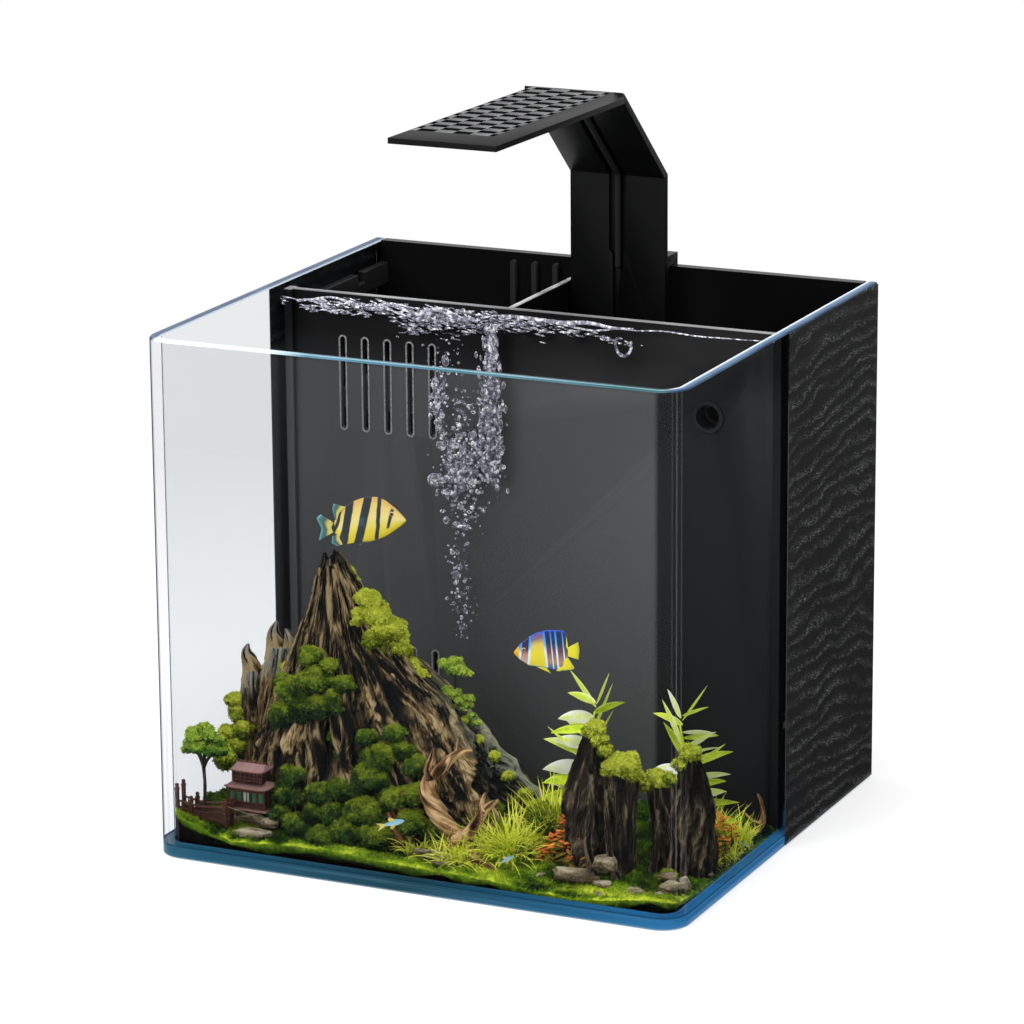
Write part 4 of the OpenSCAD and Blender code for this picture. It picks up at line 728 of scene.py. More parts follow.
def makeScatterTree():
    # one unit shape planted over a surface by its "grow" values
    tree = bpy.data.node_groups.new("scatter", "GeometryNodeTree")
    kinds = {"Surface": "Geometry", "Unit": "Object", "Finish": "Material", "Density": "Float", "Seed": "Int",
             "Smallest": "Float", "Largest": "Float", "Tilt": "Float"}
    keys = [tree.interface.new_socket(name, in_out="INPUT", socket_type="NodeSocket" + kind).identifier
            for name, kind in kinds.items()]
    tree.interface.new_socket("Result", in_out="OUTPUT", socket_type="NodeSocketGeometry")

    def add(kind, inputs, out=0, **settings):
        node = tree.nodes.new(kind)
        for key, value in settings.items():
            setattr(node, key, value)
        for key, value in inputs.items():
            if isinstance(value, bpy.types.NodeSocket):
                tree.links.new(value, node.inputs[key])
            else:
                node.inputs[key].default_value = value
        return node.outputs[out]

    def chance(kind, inputs, out):
        return add("FunctionNodeRandomValue", inputs, out, data_type=kind)

    source = tree.nodes.new("NodeGroupInput").outputs
    tilt, seed = source["Tilt"], source["Seed"]
    grow = add("GeometryNodeInputNamedAttribute", {"Name": "grow"}, data_type="FLOAT")
    thick = add("ShaderNodeMath", {0: source["Density"], 1: grow}, operation="MULTIPLY")
    dots = add("GeometryNodeDistributePointsOnFaces", {"Mesh": source["Surface"], "Density": thick, "Seed": seed})
    least = add("ShaderNodeMath", {0: tilt, 1: -1.0}, operation="MULTIPLY")
    low = add("ShaderNodeCombineXYZ", {0: least, 1: least, 2: 0.0})
    high = add("ShaderNodeCombineXYZ", {0: tilt, 1: tilt, 2: 6.283})
    turn = chance("FLOAT_VECTOR", {0: low, 1: high, "Seed": seed}, 0)
    spin = add("FunctionNodeRotateRotation", {"Rotation": dots.node.outputs["Rotation"], "Rotate By": turn},
               rotation_space="LOCAL")
    size = chance("FLOAT", {2: source["Smallest"], 3: source["Largest"], "Seed": 5}, 1)
    unit = add("GeometryNodeObjectInfo", {"Object": source["Unit"]}, "Geometry")
    plants = add("GeometryNodeInstanceOnPoints", {"Points": dots, "Instance": unit, "Rotation": spin, "Scale": size})
    plants = add("GeometryNodeStoreNamedAttribute", {"Geometry": plants, "Name": "tint",
                                                     "Value": chance("FLOAT", {"Seed": 11}, 1)},
                 data_type="FLOAT", domain="INSTANCE")
    plants = add("GeometryNodeRealizeInstances", {"Geometry": plants})
    plants = add("GeometryNodeSetMaterial", {"Geometry": plants, "Material": source["Finish"]})
    tree.links.new(plants, tree.nodes.new("NodeGroupOutput").inputs[0])
    return tree, keys


scatterTree, scatterKeys = makeScatterTree()


def scatter(name, ground, unit, material, slot, density, *values):
    # density is plants per square mm; the values are seed, smallest, largest and tilt
    piece = bpy.data.objects.new(name, ground.data.copy())
    link(piece)
    planting = piece.modifiers.new("scatter", "NODES")
    planting.node_group = scatterTree
    for key, value in zip(scatterKeys[1:], (unit, finish[material], density * 1e6, *values)):
        planting[key] = value
    applyAll(piece)
    settle(piece, "tank")


def makeUnit(name, tall, wide, spread, seed, blades=4):
    # a tuft of bent blades, taken away once it has been planted
    chance = random.Random(seed)
    points, faces = [], []
    for k in range(blades):
        yaw = k * 2 * pi / blades + chance.uniform(-0.5, 0.5)
        fall = chance.uniform(0.5, 1.0) * spread
        high, start = tall * chance.uniform(0.65, 1.0), len(points)
        ahead, across = np.array([cos(yaw), sin(yaw), 0]), np.array([-sin(yaw), cos(yaw), 0])
        for t in (0, 0.5, 1):
            mid = ahead * fall * t ** 1.5 * tall + np.array([0, 0, high * t * (1 - 0.25 * t)])
            half = wide * 0.5 * sin(pi * (0.18 + 0.74 * t))
            points += [mid - across * half, mid + across * half] if t < 1 else [mid]
        faces += [(start, start + 1, start + 3, start + 2), (start + 2, start + 3, start + 4)]
    return makePiece(name, np.array(points) * mm, faces, [], None)


def rockFinish(name, stops, gain=2.1, tips=0.5, tipColour=(0.4, 0.43, 0.38), streaks=1.0, lift=0.0, flank=0.0):
    # weathered stump rock: fine streaks along the flow, thin crests painted light and hollows painted black, partly
    # its own colour and partly painted highlight and painted shade
    p = Paint(name)
    flow = p.attribute("flow", "Vector")
    ridge, pale = p.attribute("ridge"), p.attribute("pale")
    streak = p.noise(5.0, 5, 0.6, p.stretch(flow, (1, 1, 0.5)), 0.8)
    fibre = p.noise(17.0, 3, 0.6, p.stretch(flow, (1, 1, 0.3)), 0.4)
    mottled = p.noise(110, 5, 0.6)
    crest = (1 - (streak - 0.5).size() * 8.0).clamp()
    thin = (1 - (fibre - 0.5).size() * 6.0).clamp()
    lines = crest * (0.34 * streaks) + thin * (0.2 * streaks) - 0.22 * streaks
    # painted light and shade: the ridge value makes the crests light and the hollows black
    high = (ridge * gain + lines + (mottled - 0.5) * 0.34 - (gain * 0.68 - 0.42 - lift)).clamp()
    lichen = (mottled.above(0.56, 0.12) * ridge.above(0.5, 0.3)) * 0.3
    tone = p.mix(lichen * 0.6, p.ramp(high, stops), (0.12, 0.13, 0.07))
    if flank:
        backbone = (p.axis("Y") + p.axis("X") * 0.14).above(-0.0835, 0.018)
        worn = p.axis("X").above(-0.035, 0.05) * backbone * high.above(0.22, 0.4)
        tone = p.mix(worn * flank, tone, (0.3, 0.35, 0.27))
    # painted top highlight: the upper part of each loft takes the tip colour where its crests are high
    tone = p.mix(pale.above(0.8, 0.2) * high.above(0.35, 0.35) * tips, tone, tipColour)
    bumps = crest * 0.6 + thin * 0.5 + mottled * 0.4
    return p.skin(tone, 0.8 - high * 0.2, 0.1, p.bump(bumps, 0.8))


def woodFinish(name, dark, mid, light):
    # bare driftwood with fibres winding along the limb; its grooves are painted dark and its crests light, partly its
    # own colour and partly painted shade and painted highlight
    p = Paint(name)
    fibre = p.noise(9.0, 4, 0.7, p.stretch(p.attribute("flow", "Vector"), (1, 1, 0.35)), 0.4)
    high = p.attribute("ridge") * 1.5 + (fibre - 0.5) * 1.2 + (p.noise(120, 3) - 0.5) * 0.3 - 0.5
    tone = p.ramp(high.clamp(), [(0.15, *dark), (0.5, *mid), (0.85, *light)])
    return p.skin(tone, 0.62, 0.12, p.bump(fibre, 0.8, 0.0008))


def leafFinish(name, stops, shine=0.45, depth=0.35):
    # foliage: colour by shade, with each tuft a little different
    p = Paint(name)
    value = p.attribute("shade") + (p.attribute("tint") - 0.5) * depth + (p.noise(260, 3) - 0.5) * 0.5
    value = value.clamp()
    glow = p.flat("BsdfTranslucent", stops[-2][1:])
    return p.finish(p.over(value * 0.3, p.body(p.ramp(value, stops), shine + 0.2, 0.12), glow))


def soilFinish(name, moss, soil):
    # bright moss on top of black soil, the change follows the "soil" values
    p = Paint(name)
    speck, fine = p.noise(420, 4, 0.7), p.noise(90, 3)
    value = (p.attribute("shade") + (speck - 0.5) * 0.75 + (fine - 0.5) * 0.35).clamp()
    bare = (p.attribute("soil") + (fine - 0.5) * 0.3).above(0.5, 0.2)
    tone = p.mix(bare, p.ramp(value, moss), p.ramp(speck, soil))
    return p.skin(tone, 0.85, 0.0, p.bump(speck, 0.8))


def ornamentFinish(name, paints, shutters, panes):
    # painted resin: dark red-brown timber and rosy roofs, the rose a painted highlight, then green shutters and pale
    # panes
    p = Paint(name)
    tone, worn = p.attribute("tone"), p.noise(700, 3, 0.65)
    paint = p.ramp((tone + (worn - 0.5) * 0.12).clamp(), paints)
    paint = p.mix(tone.above(0.79, 0.01), paint, shutters)
    paint = p.mix(tone.above(0.9, 0.01), paint, panes)
    return p.skin(paint, 0.42 + worn * 0.15, 0.18, p.bump(worn, 0.25, 0.0004))


# rock tones run from the hollows, painted near black as shade, to the crests, painted light
mountainStops = [(0.08, 0.0008, 0.0016, 0.0018), (0.3, 0.0065, 0.0064, 0.0046), (0.5, 0.045, 0.03, 0.012),
                 (0.74, 0.19, 0.118, 0.045), (0.98, 0.5, 0.37, 0.19)]
cornerStops = [(0.1, 0.0006, 0.0006, 0.0006), (0.36, 0.0065, 0.005, 0.0034), (0.58, 0.026, 0.019, 0.0115),
               (0.8, 0.12, 0.088, 0.048), (1.0, 0.3, 0.235, 0.14)]
stoneStops = [(0.1, 0.005, 0.004, 0.002), (0.36, 0.042, 0.029, 0.014), (0.58, 0.15, 0.106, 0.056),
              (0.8, 0.4, 0.315, 0.19), (1.0, 0.72, 0.63, 0.45)]
leafy = {  # colour stops from dark to light, then gloss and variety where they differ
    "moss": ([(0.08, 0.003, 0.011, 0.001), (0.38, 0.055, 0.09, 0.004), (0.66, 0.23, 0.29, 0.01),
              (0.93, 0.76, 0.8, 0.09)],),
    "bedMoss": ([(0.06, 0.003, 0.012, 0.001), (0.3, 0.035, 0.085, 0.004), (0.55, 0.18, 0.29, 0.01),
                 (0.92, 0.66, 0.74, 0.06)],),
    "bush": ([(0.08, 0.0008, 0.005, 0.0015), (0.36, 0.008, 0.034, 0.006), (0.62, 0.06, 0.12, 0.01),
              (0.95, 0.34, 0.42, 0.025)],),
    "grass": ([(0.05, 0.08, 0.13, 0.004), (0.3, 0.5, 0.6, 0.014), (0.75, 1.0, 1.0, 0.14)], 0.4),
    # the palest broad leaf stops are a painted highlight
    "broadLeaf": ([(0.05, 0.03, 0.11, 0.006), (0.32, 0.24, 0.44, 0.01), (0.55, 0.66, 0.82, 0.02),
                   (0.78, 0.86, 0.95, 0.25), (0.96, 1.0, 1.0, 0.97)], 0.3, 0.2),
    "redLeaf": ([(0.05, 0.02, 0.03, 0.004), (0.3, 0.16, 0.15, 0.015), (0.5, 0.48, 0.26, 0.03),
                 (0.72, 0.8, 0.16, 0.03), (1.0, 1.0, 0.36, 0.1)], 0.4, 0.2),
    "crown": ([(0.1, 0.003, 0.022, 0.005), (0.44, 0.028, 0.12, 0.012), (0.72, 0.15, 0.32, 0.025),
               (1.0, 0.66, 0.78, 0.11)],),
}
woody = {  # dark, middle and light
    "bareWood": ((0.008, 0.003, 0.001), (0.27, 0.125, 0.045), (0.8, 0.53, 0.27)),
    "redwood": ((0.014, 0.004, 0.002), (0.17, 0.052, 0.02), (0.5, 0.21, 0.09)),
    "bark": ((0.006, 0.005, 0.004), (0.022, 0.02, 0.013), (0.07, 0.065, 0.04)),
}
finish |= {name: leafFinish(name, *values) for name, values in leafy.items()}
finish |= {name: woodFinish(name, *values) for name, values in woody.items()}
finish |= {
    "rock": rockFinish("rock", mountainStops, 2.9, 0.35, (0.16, 0.18, 0.13), 1.25, -0.1, 0.65),
    "spire": rockFinish("spire", mountainStops, 2.3, 0.8, (0.42, 0.46, 0.42), 1.0, 0.14),
    "cornerRock": rockFinish("cornerRock", cornerStops, 2.2, 0.2, (0.05, 0.045, 0.03), 0.9),
    "stone": rockFinish("stone", stoneStops, 1.4, 0.0, streaks=0.35, lift=0.3),
    "soil": soilFinish("soil", [(0.1, 0.002, 0.007, 0.001), (0.38, 0.028, 0.066, 0.005), (0.64, 0.16, 0.27, 0.01),
            (0.95, 0.58, 0.68, 0.04)],
                       [(0.45, 0.0004, 0.0004, 0.0003), (0.8, 0.004, 0.0024, 0.0016)]),
    "ornament": ornamentFinish("ornament", [
        (0.05, 0.006, 0.003, 0.002), (0.25, 0.034, 0.01, 0.006), (0.45, 0.095, 0.028, 0.015), (0.6, 0.2, 0.095, 0.07),
        (0.74, 0.32, 0.185, 0.18)],
        (0.018, 0.105, 0.045), (0.34, 0.42, 0.33)),
}


# the moss bed in mm: its line along the front pane, its level behind, and the fineness of its mesh
bedShape = {
    "front": [(-143.7, 24), (-135, 21), (-125, 17), (-107, 12.5), (-95, 13), (-80, 14.5), (-60, 15.5), (-40, 15),
              (-19, 13.5), (9, 12.8),
              (35, 12.3), (55, 11), (70, 9.8), (90, 8.6), (105, 10), (120, 12.5), (135, 14.5), (143.7, 15)],
    "right": [(-131, 14), (-115, 10.5), (-94, 9.0), (-67, 8.6), (-40, 8.2), (13, 8.2)],
    "level": 14.2, "least": 7.0, "most": 30, "corner": 8.7, "columns": 340, "rows": 170, "deepRows": 10,
    "bunching": 0.86}
units = {  # blade height, width, how far it leans, and seed
    "tuft": (2.2, 0.8, 0.8, 3), "hair": (1.9, 0.36, 0.7, 4)}


def lumps(x, y):
    return ridges(plan(x * 0.085, y * 0.085, 3), 3, 21) * 0.5 + 0.5


def groundHeight(x, y):
    # moss level in mm: the line along the front pane, and the rolling ground behind it
    front = np.interp(x, *zip(*bedShape["front"]))
    inner = bedShape["level"] + 3.2 * fractal(plan(x * 0.03, y * 0.05), 3, 4) + 4.0 * np.exp(-((x + 128) / 26) ** 2)
    inner -= 3.5 * np.exp(-((x - 143) / 30) ** 2)
    back = ((y + 126) / 16).clip(0, 1)
    height = front * (1 - back) + inner * back
    side = ((x - 130) / 12).clip(0, 1)
    height = height * (1 - side) + np.interp(y, *zip(*bedShape["right"])) * side
    height = height + 3.2 * (lumps(x, y) - 0.6) * (0.3 + 0.7 * back)
    return height.clip(bedShape["least"], bedShape["most"])


def bedOutline(x, y):
    # the same corners as the bent pane, a little inside it
    radius = bedShape["corner"]
    reach = ((np.abs(x) - (inside["x"] - radius)) / radius).clip(0, 1)
    return np.maximum(y, inside["front"] + radius - radius * np.sqrt((1 - reach ** 2).clip(0, 1)))


def makeBed():
    columns, rows, deepRows = (bedShape[key] for key in ("columns", "rows", "deepRows"))
    bunch = pi / 2 * bedShape["bunching"]
    x = np.sin(np.linspace(-1, 1, columns) * pi / 2 * bedShape["bunching"]) / sin(bunch) * inside["x"]
    y = inside["front"] + (inside["back"] - inside["front"]) * np.linspace(0, 1, rows) ** 1.25
    gx, gy = (values.ravel() for values in np.meshgrid(x, y))
    gy = bedOutline(gx, gy)
    room = np.minimum(gy - bedOutline(gx, np.full_like(gx, -200.0)), inside["x"] - np.abs(gx))
    edge = np.minimum(room, 3.0) / 3.0
    top = np.stack([gx, gy, groundHeight(gx, gy) - 1.0 * (1 - edge) ** 2], 1)
    cloud = fractal(plan(gx * 0.05, gy * 0.09), 3, 8)
    # painted light and shade: the moss is lighter on the lump tops and at its rim by the glass, and darker further
    # back
    shade = 0.34 + 0.62 * (lumps(gx, gy) - 0.35) + 0.34 * cloud + 0.3 * (1 - edge)
    shade = shade.clip(0, 1) * np.interp(gy, [-131, -118, -104, -80], [1.0, 0.95, 0.66, 0.45])
    heap = Heap()
    heap.put(top, gridFaces(rows, columns), shade=shade, soil=0.0,
             grow=np.interp(gy, [-131, -129, -100, -60, 13], [0.9, 1.0, 0.9, 0.55, 0.2]))
    rim = top[gridRim(rows, columns)]
    band = np.tile(rim, (deepRows + 1, 1))
    share = np.repeat(np.arange(deepRows + 1) / deepRows, len(rim))
    band[:, 2] = band[:, 2] + (inside["floor"] - band[:, 2]) * share
    depth = np.tile(rim[:, 2], deepRows + 1) - band[:, 2]
    wander = 2.3 + 1.3 * fractal(plan(band[:, 0] * 0.07, band[:, 1] * 0.07), 2, 13)
    faces = [f[::-1] for f in gridFaces(deepRows + 1, len(rim), True)]
    heap.put(band, faces + [list(range(deepRows * len(rim), len(band)))[::-1]],
             shade=(0.62 - depth * 0.085).clip(0, 1), soil=(depth / wander / 2.4).clip(0, 1),
             grow=((1.2 - depth) * 0.8).clip(0, 1) * 0.6)
    bed = heap.piece("mossBed", "soil", "moss_soil")
    straighten(bed, 1e-5)
    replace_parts(bed, "planted_bed")
    return bed


bed = makeBed()
tuft, hair = (makeUnit(name, *values) for name, values in units.items())
scatter("bedMoss", bed, hair, "bedMoss", "moss_soil", 0.57, 1, 0.55, 1.2, 0.5)
print("bed made")

# rocks: reaches are rows of height and reach to the right, back, left and front; one reach serves all four sides
mountain = {
    "centre": (-82, -58), "view": radians(-8),
    "reaches": [(154, 4, 4, 4, 4), (150, 8, 5, 5, 5), (131, 20, 12, 8, 11), (118, 33, 17, 12, 16),
                (101, 46, 23, 20, 23),
                (91, 63, 26, 23, 27), (76, 78, 31, 28, 33), (60, 94, 36, 33, 39), (46, 110, 40, 37, 42),
                (30, 124, 43, 41, 45), (8, 131, 44, 43, 46)],
    "holes": [  # place, width, height and depth
        (-70, -92, 58, 8, 17, 14), (-37, -82, 80, 6, 13, 11), (-66, -80, 97, 5, 14, 9), (0, -84, 40, 8, 8, 12),
        (16, -82, 36, 6, 6, 9), (-28, -94, 50, 9, 10, 10), (-96, -92, 45, 5, 12, 8), (-20, -84, 62, 4, 12, 7)],
    "roots": (-3, -10, -17, -25, -33, -42, -51, -60, -69, -78, -90, -103, -118, -140)}
spires = {
    "lofts": [  # centre, reaches, points across, rings, seed and what else differs
        ((-111, -62), [(101, 6.5), (90, 8.5), (78, 11), (60, 13), (40, 16), (8, 21)], 150, 130, 31,
         {"jag": 6, "twist": 1.2, "grain": 1.2}),
        ((-125, -63), [(87, 6), (78, 7.5), (66, 9), (50, 11), (8, 14)], 120, 110, 37,
         {"twist": -0.9, "grain": 1.3, "lean": (-1, 0)})],
    "prongs": [[(-112, -62, 90, 6.5), (-114, -62, 99, 4.6), (-115, -62, 106, 2.8), (-113, -62, 112.4, 0.7)],
               [(-108, -61, 90, 5.5), (-106, -61, 98, 3.6), (-106.5, -61, 104, 2.2), (-108.5, -61, 108.5, 0.6)],
               [(-126.5, -63, 76, 6.0), (-128.5, -63, 86, 4.2), (-131, -63, 93, 2.6), (-130.2, -63, 98, 0.6)],
               [(-121, -62, 76, 5), (-120, -62, 84, 3.4), (-118.5, -62, 89, 1.6), (-117.5, -62, 92, 0.5)]]}
cornerRocks = {
    "lofts": [
        ((86, -92), [(86, 4), (78, 8), (63, 13), (45, 17), (25, 19), (8, 20)], 170, 130, 51,
         {"twist": 0.5, "grain": 1.3, "lean": (-2, 1)}),
        ((101, -97), [(72, 7, 8, 9, 8), (63, 7.5, 9, 9, 9), (45, 6, 9, 9, 9), (25, 6.5, 9, 10, 10),
                      (8, 8, 9, 12, 12)], 130, 120, 57, {"twist": -0.4, "grain": 1.3, "lean": (2, 0)}),
        ((130, -72), [(73, 3.5), (65, 7), (48, 11), (30, 13), (8, 13)], 130, 110, 61, {"twist": 0.5, "grain": 1.4}),
        ((116, -78), [(58, 7, 7, 7, 7), (51, 8, 8, 6.5, 8), (35, 9, 8, 4.5, 8), (8, 10, 9, 5, 9)], 120, 100, 67,
         {"jag": 4, "twist": -0.6, "grain": 1.4})],
    "roots": [[(88, -104, 66, 1.2), (91, -110, 50, 1.8), (90, -113, 30, 1.7), (95, -114, 11, 2.4)],
              [(97, -106, 60, 1.0), (99, -108, 40, 1.5), (101, -110, 26, 1.4), (106, -111, 11, 2.2)],
              [(127, -80, 56, 1.0), (125, -86, 40, 1.6), (127, -88, 26, 1.5), (124, -89, 11, 2.2)],
              [(117, -86, 46, 1.0), (118, -88, 30, 1.3), (115, -89, 11, 2.0)]]}


def reachAt(reaches, turn, z):
    # distance from the axis to a loft's surface, before its flutes
    sides = sidesAt(reaches, z)
    c, s = cos(turn), sin(turn)
    return 1 / hypot(c / sides[0 if c > 0 else 2], s / sides[1 if s > 0 else 3])


def makeMountain():
    heap = Heap()
    (cx, cy), view, reaches = mountain["centre"], mountain["view"], mountain["reaches"]
    loft(heap, (cx, cy), reaches, 380, 170, 11, 11, 0.62, view, 0.55, mountain["holes"], lobes=0.8, spread=0.65)
    chance = random.Random(17)
    for degrees in mountain["roots"]:
        # a root that runs down from the summit, proud of the hollows
        turn, thick, top = radians(degrees), chance.uniform(0.65, 1.15), 150 - chance.uniform(0, 10)
        path = []
        for z in np.linspace(top, 12, 11):
            turn += chance.uniform(-0.07, 0.07)
            reach = reachAt(reaches, turn - view, z) * chance.uniform(0.93, 1.0)
            radius = thick * (1.3 + 3.6 * (top - z) / top)
            path.append((cx + reach * cos(turn), cy + reach * sin(turn), z, radius))
        limb(heap, path, 24, 84, 80 - degrees, 0.85, 1.1, 0.05, pale=0.3)
    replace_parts(heap.piece("mountain", "rock", "brown_rock"), "mountain_rock")


def makeSpires():
    heap = Heap()
    for *place, more in spires["lofts"]:
        loft(heap, *place, flute=0.5, lobes=0.6, **more)
    for path in spires["prongs"]:
        # the prongs' upper ends take the painted top highlight
        limb(heap, path, 36, 50, 71, 0.75, 1.4, 0.05, pale=np.repeat(np.linspace(0.6, 1.0, 50), 36))
    heap.piece("spires", "spire", "brown_rock")


def makeCornerRocks():
    heap = Heap()
    for *place, more in cornerRocks["lofts"]:
        loft(heap, *place, grit=0.55, **more)
    for path in cornerRocks["roots"]:
        limb(heap, path, 20, 60, 91, 0.8, 1.4, 0.05, pale=0.3)
    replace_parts(heap.piece("cornerRocks", "cornerRock", "brown_rock"), "corner_rocks")


makeMountain()
makeSpires()
makeCornerRocks()

mossPatches = [  # x, y, z, radius, brightness; the brightness is painted light, higher for patches that stand in the light
    (-54, -62, 121, 9, 0.8), (-60, -60, 129, 8, 0.88), (-46, -62, 113, 10, 0.8), (-51, -69, 113, 8, 0.55),
    (-61, -66, 122, 7, 0.66), (-41, -64, 106, 7, 0.7), (-48, -68, 106, 6, 0.45),
    (-36, -64, 98, 7, 0.8), (-29, -65, 92, 6.5, 0.76), (-72, -58, 143, 3.6, 0.85), (-69, -58, 138, 3.2, 0.8),
    (-41, -67, 97, 5, 0.6),
    (104, -98, 71, 8.0, 0.76), (98, -101, 70, 5.5, 0.66), (84, -92, 86, 6, 0.78), (89, -95, 81, 4.5, 0.6),
    (93, -98, 77, 4, 0.6), (109, -99, 68, 5, 0.64),
    (114, -79, 58, 7.0, 0.76), (108, -81, 57, 5, 0.66), (129.5, -72, 73, 5.5, 0.78), (125, -75, 67, 4, 0.6),
    (120, -79, 60, 4, 0.55),
    (-136, -66, 66, 5.5, 0.75), (-133, -68, 60, 6, 0.6), (-138, -72, 49, 6, 0.65), (-128, -72, 52, 7, 0.45),
    (-136, -78, 38, 8, 0.45), (-131, -76, 44, 6, 0.5), (-104, -70, 90, 3.5, 0.8),
    (44, -70, 32, 5, 0.72), (36, -72, 38, 4, 0.6), (-10, -64, 78, 3.5, 0.78), (-2, -66, 72, 3, 0.74),
    (8, -68, 63, 3, 0.74), (18, -70, 56, 3, 0.7), (27, -72, 47, 3, 0.7),
]
bushPatches = [
    (-82, -83, 102, 7, 0.62), (-78, -87, 91, 10, 0.58), (-88, -88, 83, 10, 0.52), (-68, -88, 81, 9, 0.5),
    (-93, -90, 72, 9, 0.46), (-98, -88, 64, 6, 0.42),
    (-62, -86, 90, 7, 0.55), (-75, -92, 77, 9, 0.44), (-97, -84, 86, 6, 0.58), (-71, -84, 98, 5, 0.55),
    (-84, -91, 74, 8, 0.42),
    (-35, -99, 58, 9, 0.6), (-39, -102, 47, 10, 0.5), (-53, -105, 39, 9, 0.4), (-56, -109, 27, 9, 0.46),
    (-38, -111, 30, 10, 0.55), (-43, -97, 66, 6, 0.46),
    (-23, -106, 38, 8, 0.52), (-12, -105, 42, 7, 0.6), (-85, -103, 32, 9, 0.4), (-91, -107, 21, 8, 0.36),
    (-76, -111, 17, 8, 0.4), (-82, -104, 42, 7, 0.38),
    (-60, -117, 15, 8, 0.45), (-46, -115, 20, 9, 0.5), (-30, -113, 20, 9, 0.55), (-98, -98, 30, 8, 0.36),
    (-12, -109, 28, 8, 0.55), (-66, -104, 34, 8, 0.36),
    (-28, -95, 70, 6, 0.5), (-15, -97, 55, 7, 0.48), (-22, -97, 62, 6, 0.5), (-69, -107, 24, 8, 0.38),
    (-9, -95, 50, 6, 0.45), (-62, -92, 62, 5, 0.4), (-58, -94, 54, 5, 0.4),
    (62, -84, 28, 10, 0.58), (50, -82, 30, 9, 0.56), (30, -92, 22, 9, 0.56), (40, -100, 18, 8, 0.6),
    (20, -96, 20, 8, 0.5), (12, -90, 28, 7, 0.5), (24, -86, 32, 6, 0.5),
    (-6, -100, 20, 9, 0.45), (8, -98, 18, 8, 0.46), (66, -98, 18, 7, 0.5), (120, -58, 24, 9, 0.55),
    (134, -52, 20, 7, 0.55), (126, -96, 12, 6, 0.55), (112, -62, 30, 8, 0.5), (108, -56, 40, 6, 0.5),
]
cushions = {  # patches, finish, seed and tufts per square mm
    "moss": (mossPatches, "moss", 3, 1.05), "upperBushes": (bushPatches[:24], "bush", 6, 0.8),
    "lowerBushes": (bushPatches[24:], "bush", 7, 0.8)}


def makeMoss(name, patches, material, seed, density):
    # each patch is one large blob with smaller ones on its flanks
    chance = random.Random(seed)
    heap = Heap()
    for x, y, z, radius, bright in patches:
        for k in range(4 if radius > 4 else 2):
            part = radius * (0.92 if k == 0 else chance.uniform(0.45, 0.62))
            away = 0 if k == 0 else radius * 0.62
            yaw, rise = chance.uniform(0, 6.28), chance.uniform(-0.35, 0.6)
            blob(heap, x + away * cos(yaw), y + away * sin(yaw) * 0.7, z + away * rise, part,
                 bright + chance.uniform(-0.08, 0.08), seed * 50 + k + int(x + 200), level=3 if part > 4 else 2)
    cushion = heap.piece(name, material, "green_leaves")
    scatter(name + "Leaves", cushion, tuft, material, "green_leaves", density, seed, 0.45, 0.95, 0.8)


for name, values in cushions.items():
    makeMoss(name, *values)
print("rocks and moss made")

stones = [  # place, size and turn
    (85, -118, 17.0, 27, 15, 12, 0.15), (99, -112, 22.0, 19, 12, 13, -0.1), (98, -119, 12.5, 16, 10, 8, 0.3),
    (100, -122, 9.5, 17, 9, 6, -0.2),
    (119, -120, 12.5, 17, 9, 8, 0.1), (136, -108, 13.5, 19, 12, 9, 0.6), (133, -114, 10.5, 13, 9, 6.5, 0.4),
    (129, -103, 17.0, 13, 9, 9, -0.3), (138, -99, 13.0, 10, 12, 8, 0.9),
    (6, -119, 15.5, 25, 9, 7.0, -0.15), (12, -121, 13.0, 15, 8, 5, 0.3), (-1, -118, 17.0, 14, 7, 4, 0.1),
    (-99, -121, 13.5, 24, 10, 9, 0.1), (-104, -108, 19.0, 33, 17, 11, 0.0), (-93, -114, 18.0, 15, 9, 10, 0.4),
    (-115, -113, 18, 12, 9, 8, 0.7),
    (74, -113, 15, 9, 6, 6, 0.0), (66, -117, 12.5, 8, 5, 5, 0.7), (112, -112, 11, 9, 6, 6, 0.4),
    (139.5, -74, 10.5, 7, 9, 6, 1.2)]


def inOrder(points, faces):
    # a hull comes in any order, so its points and faces are sorted to be the same in each run
    points = points.round(6)
    order = np.lexsort(points.T)
    place = np.argsort(order)
    faces = [[int(place[k]) for k in face] for face in faces]
    return points[order], sorted(face[face.index(min(face)):] + face[:face.index(min(face))] for face in faces)


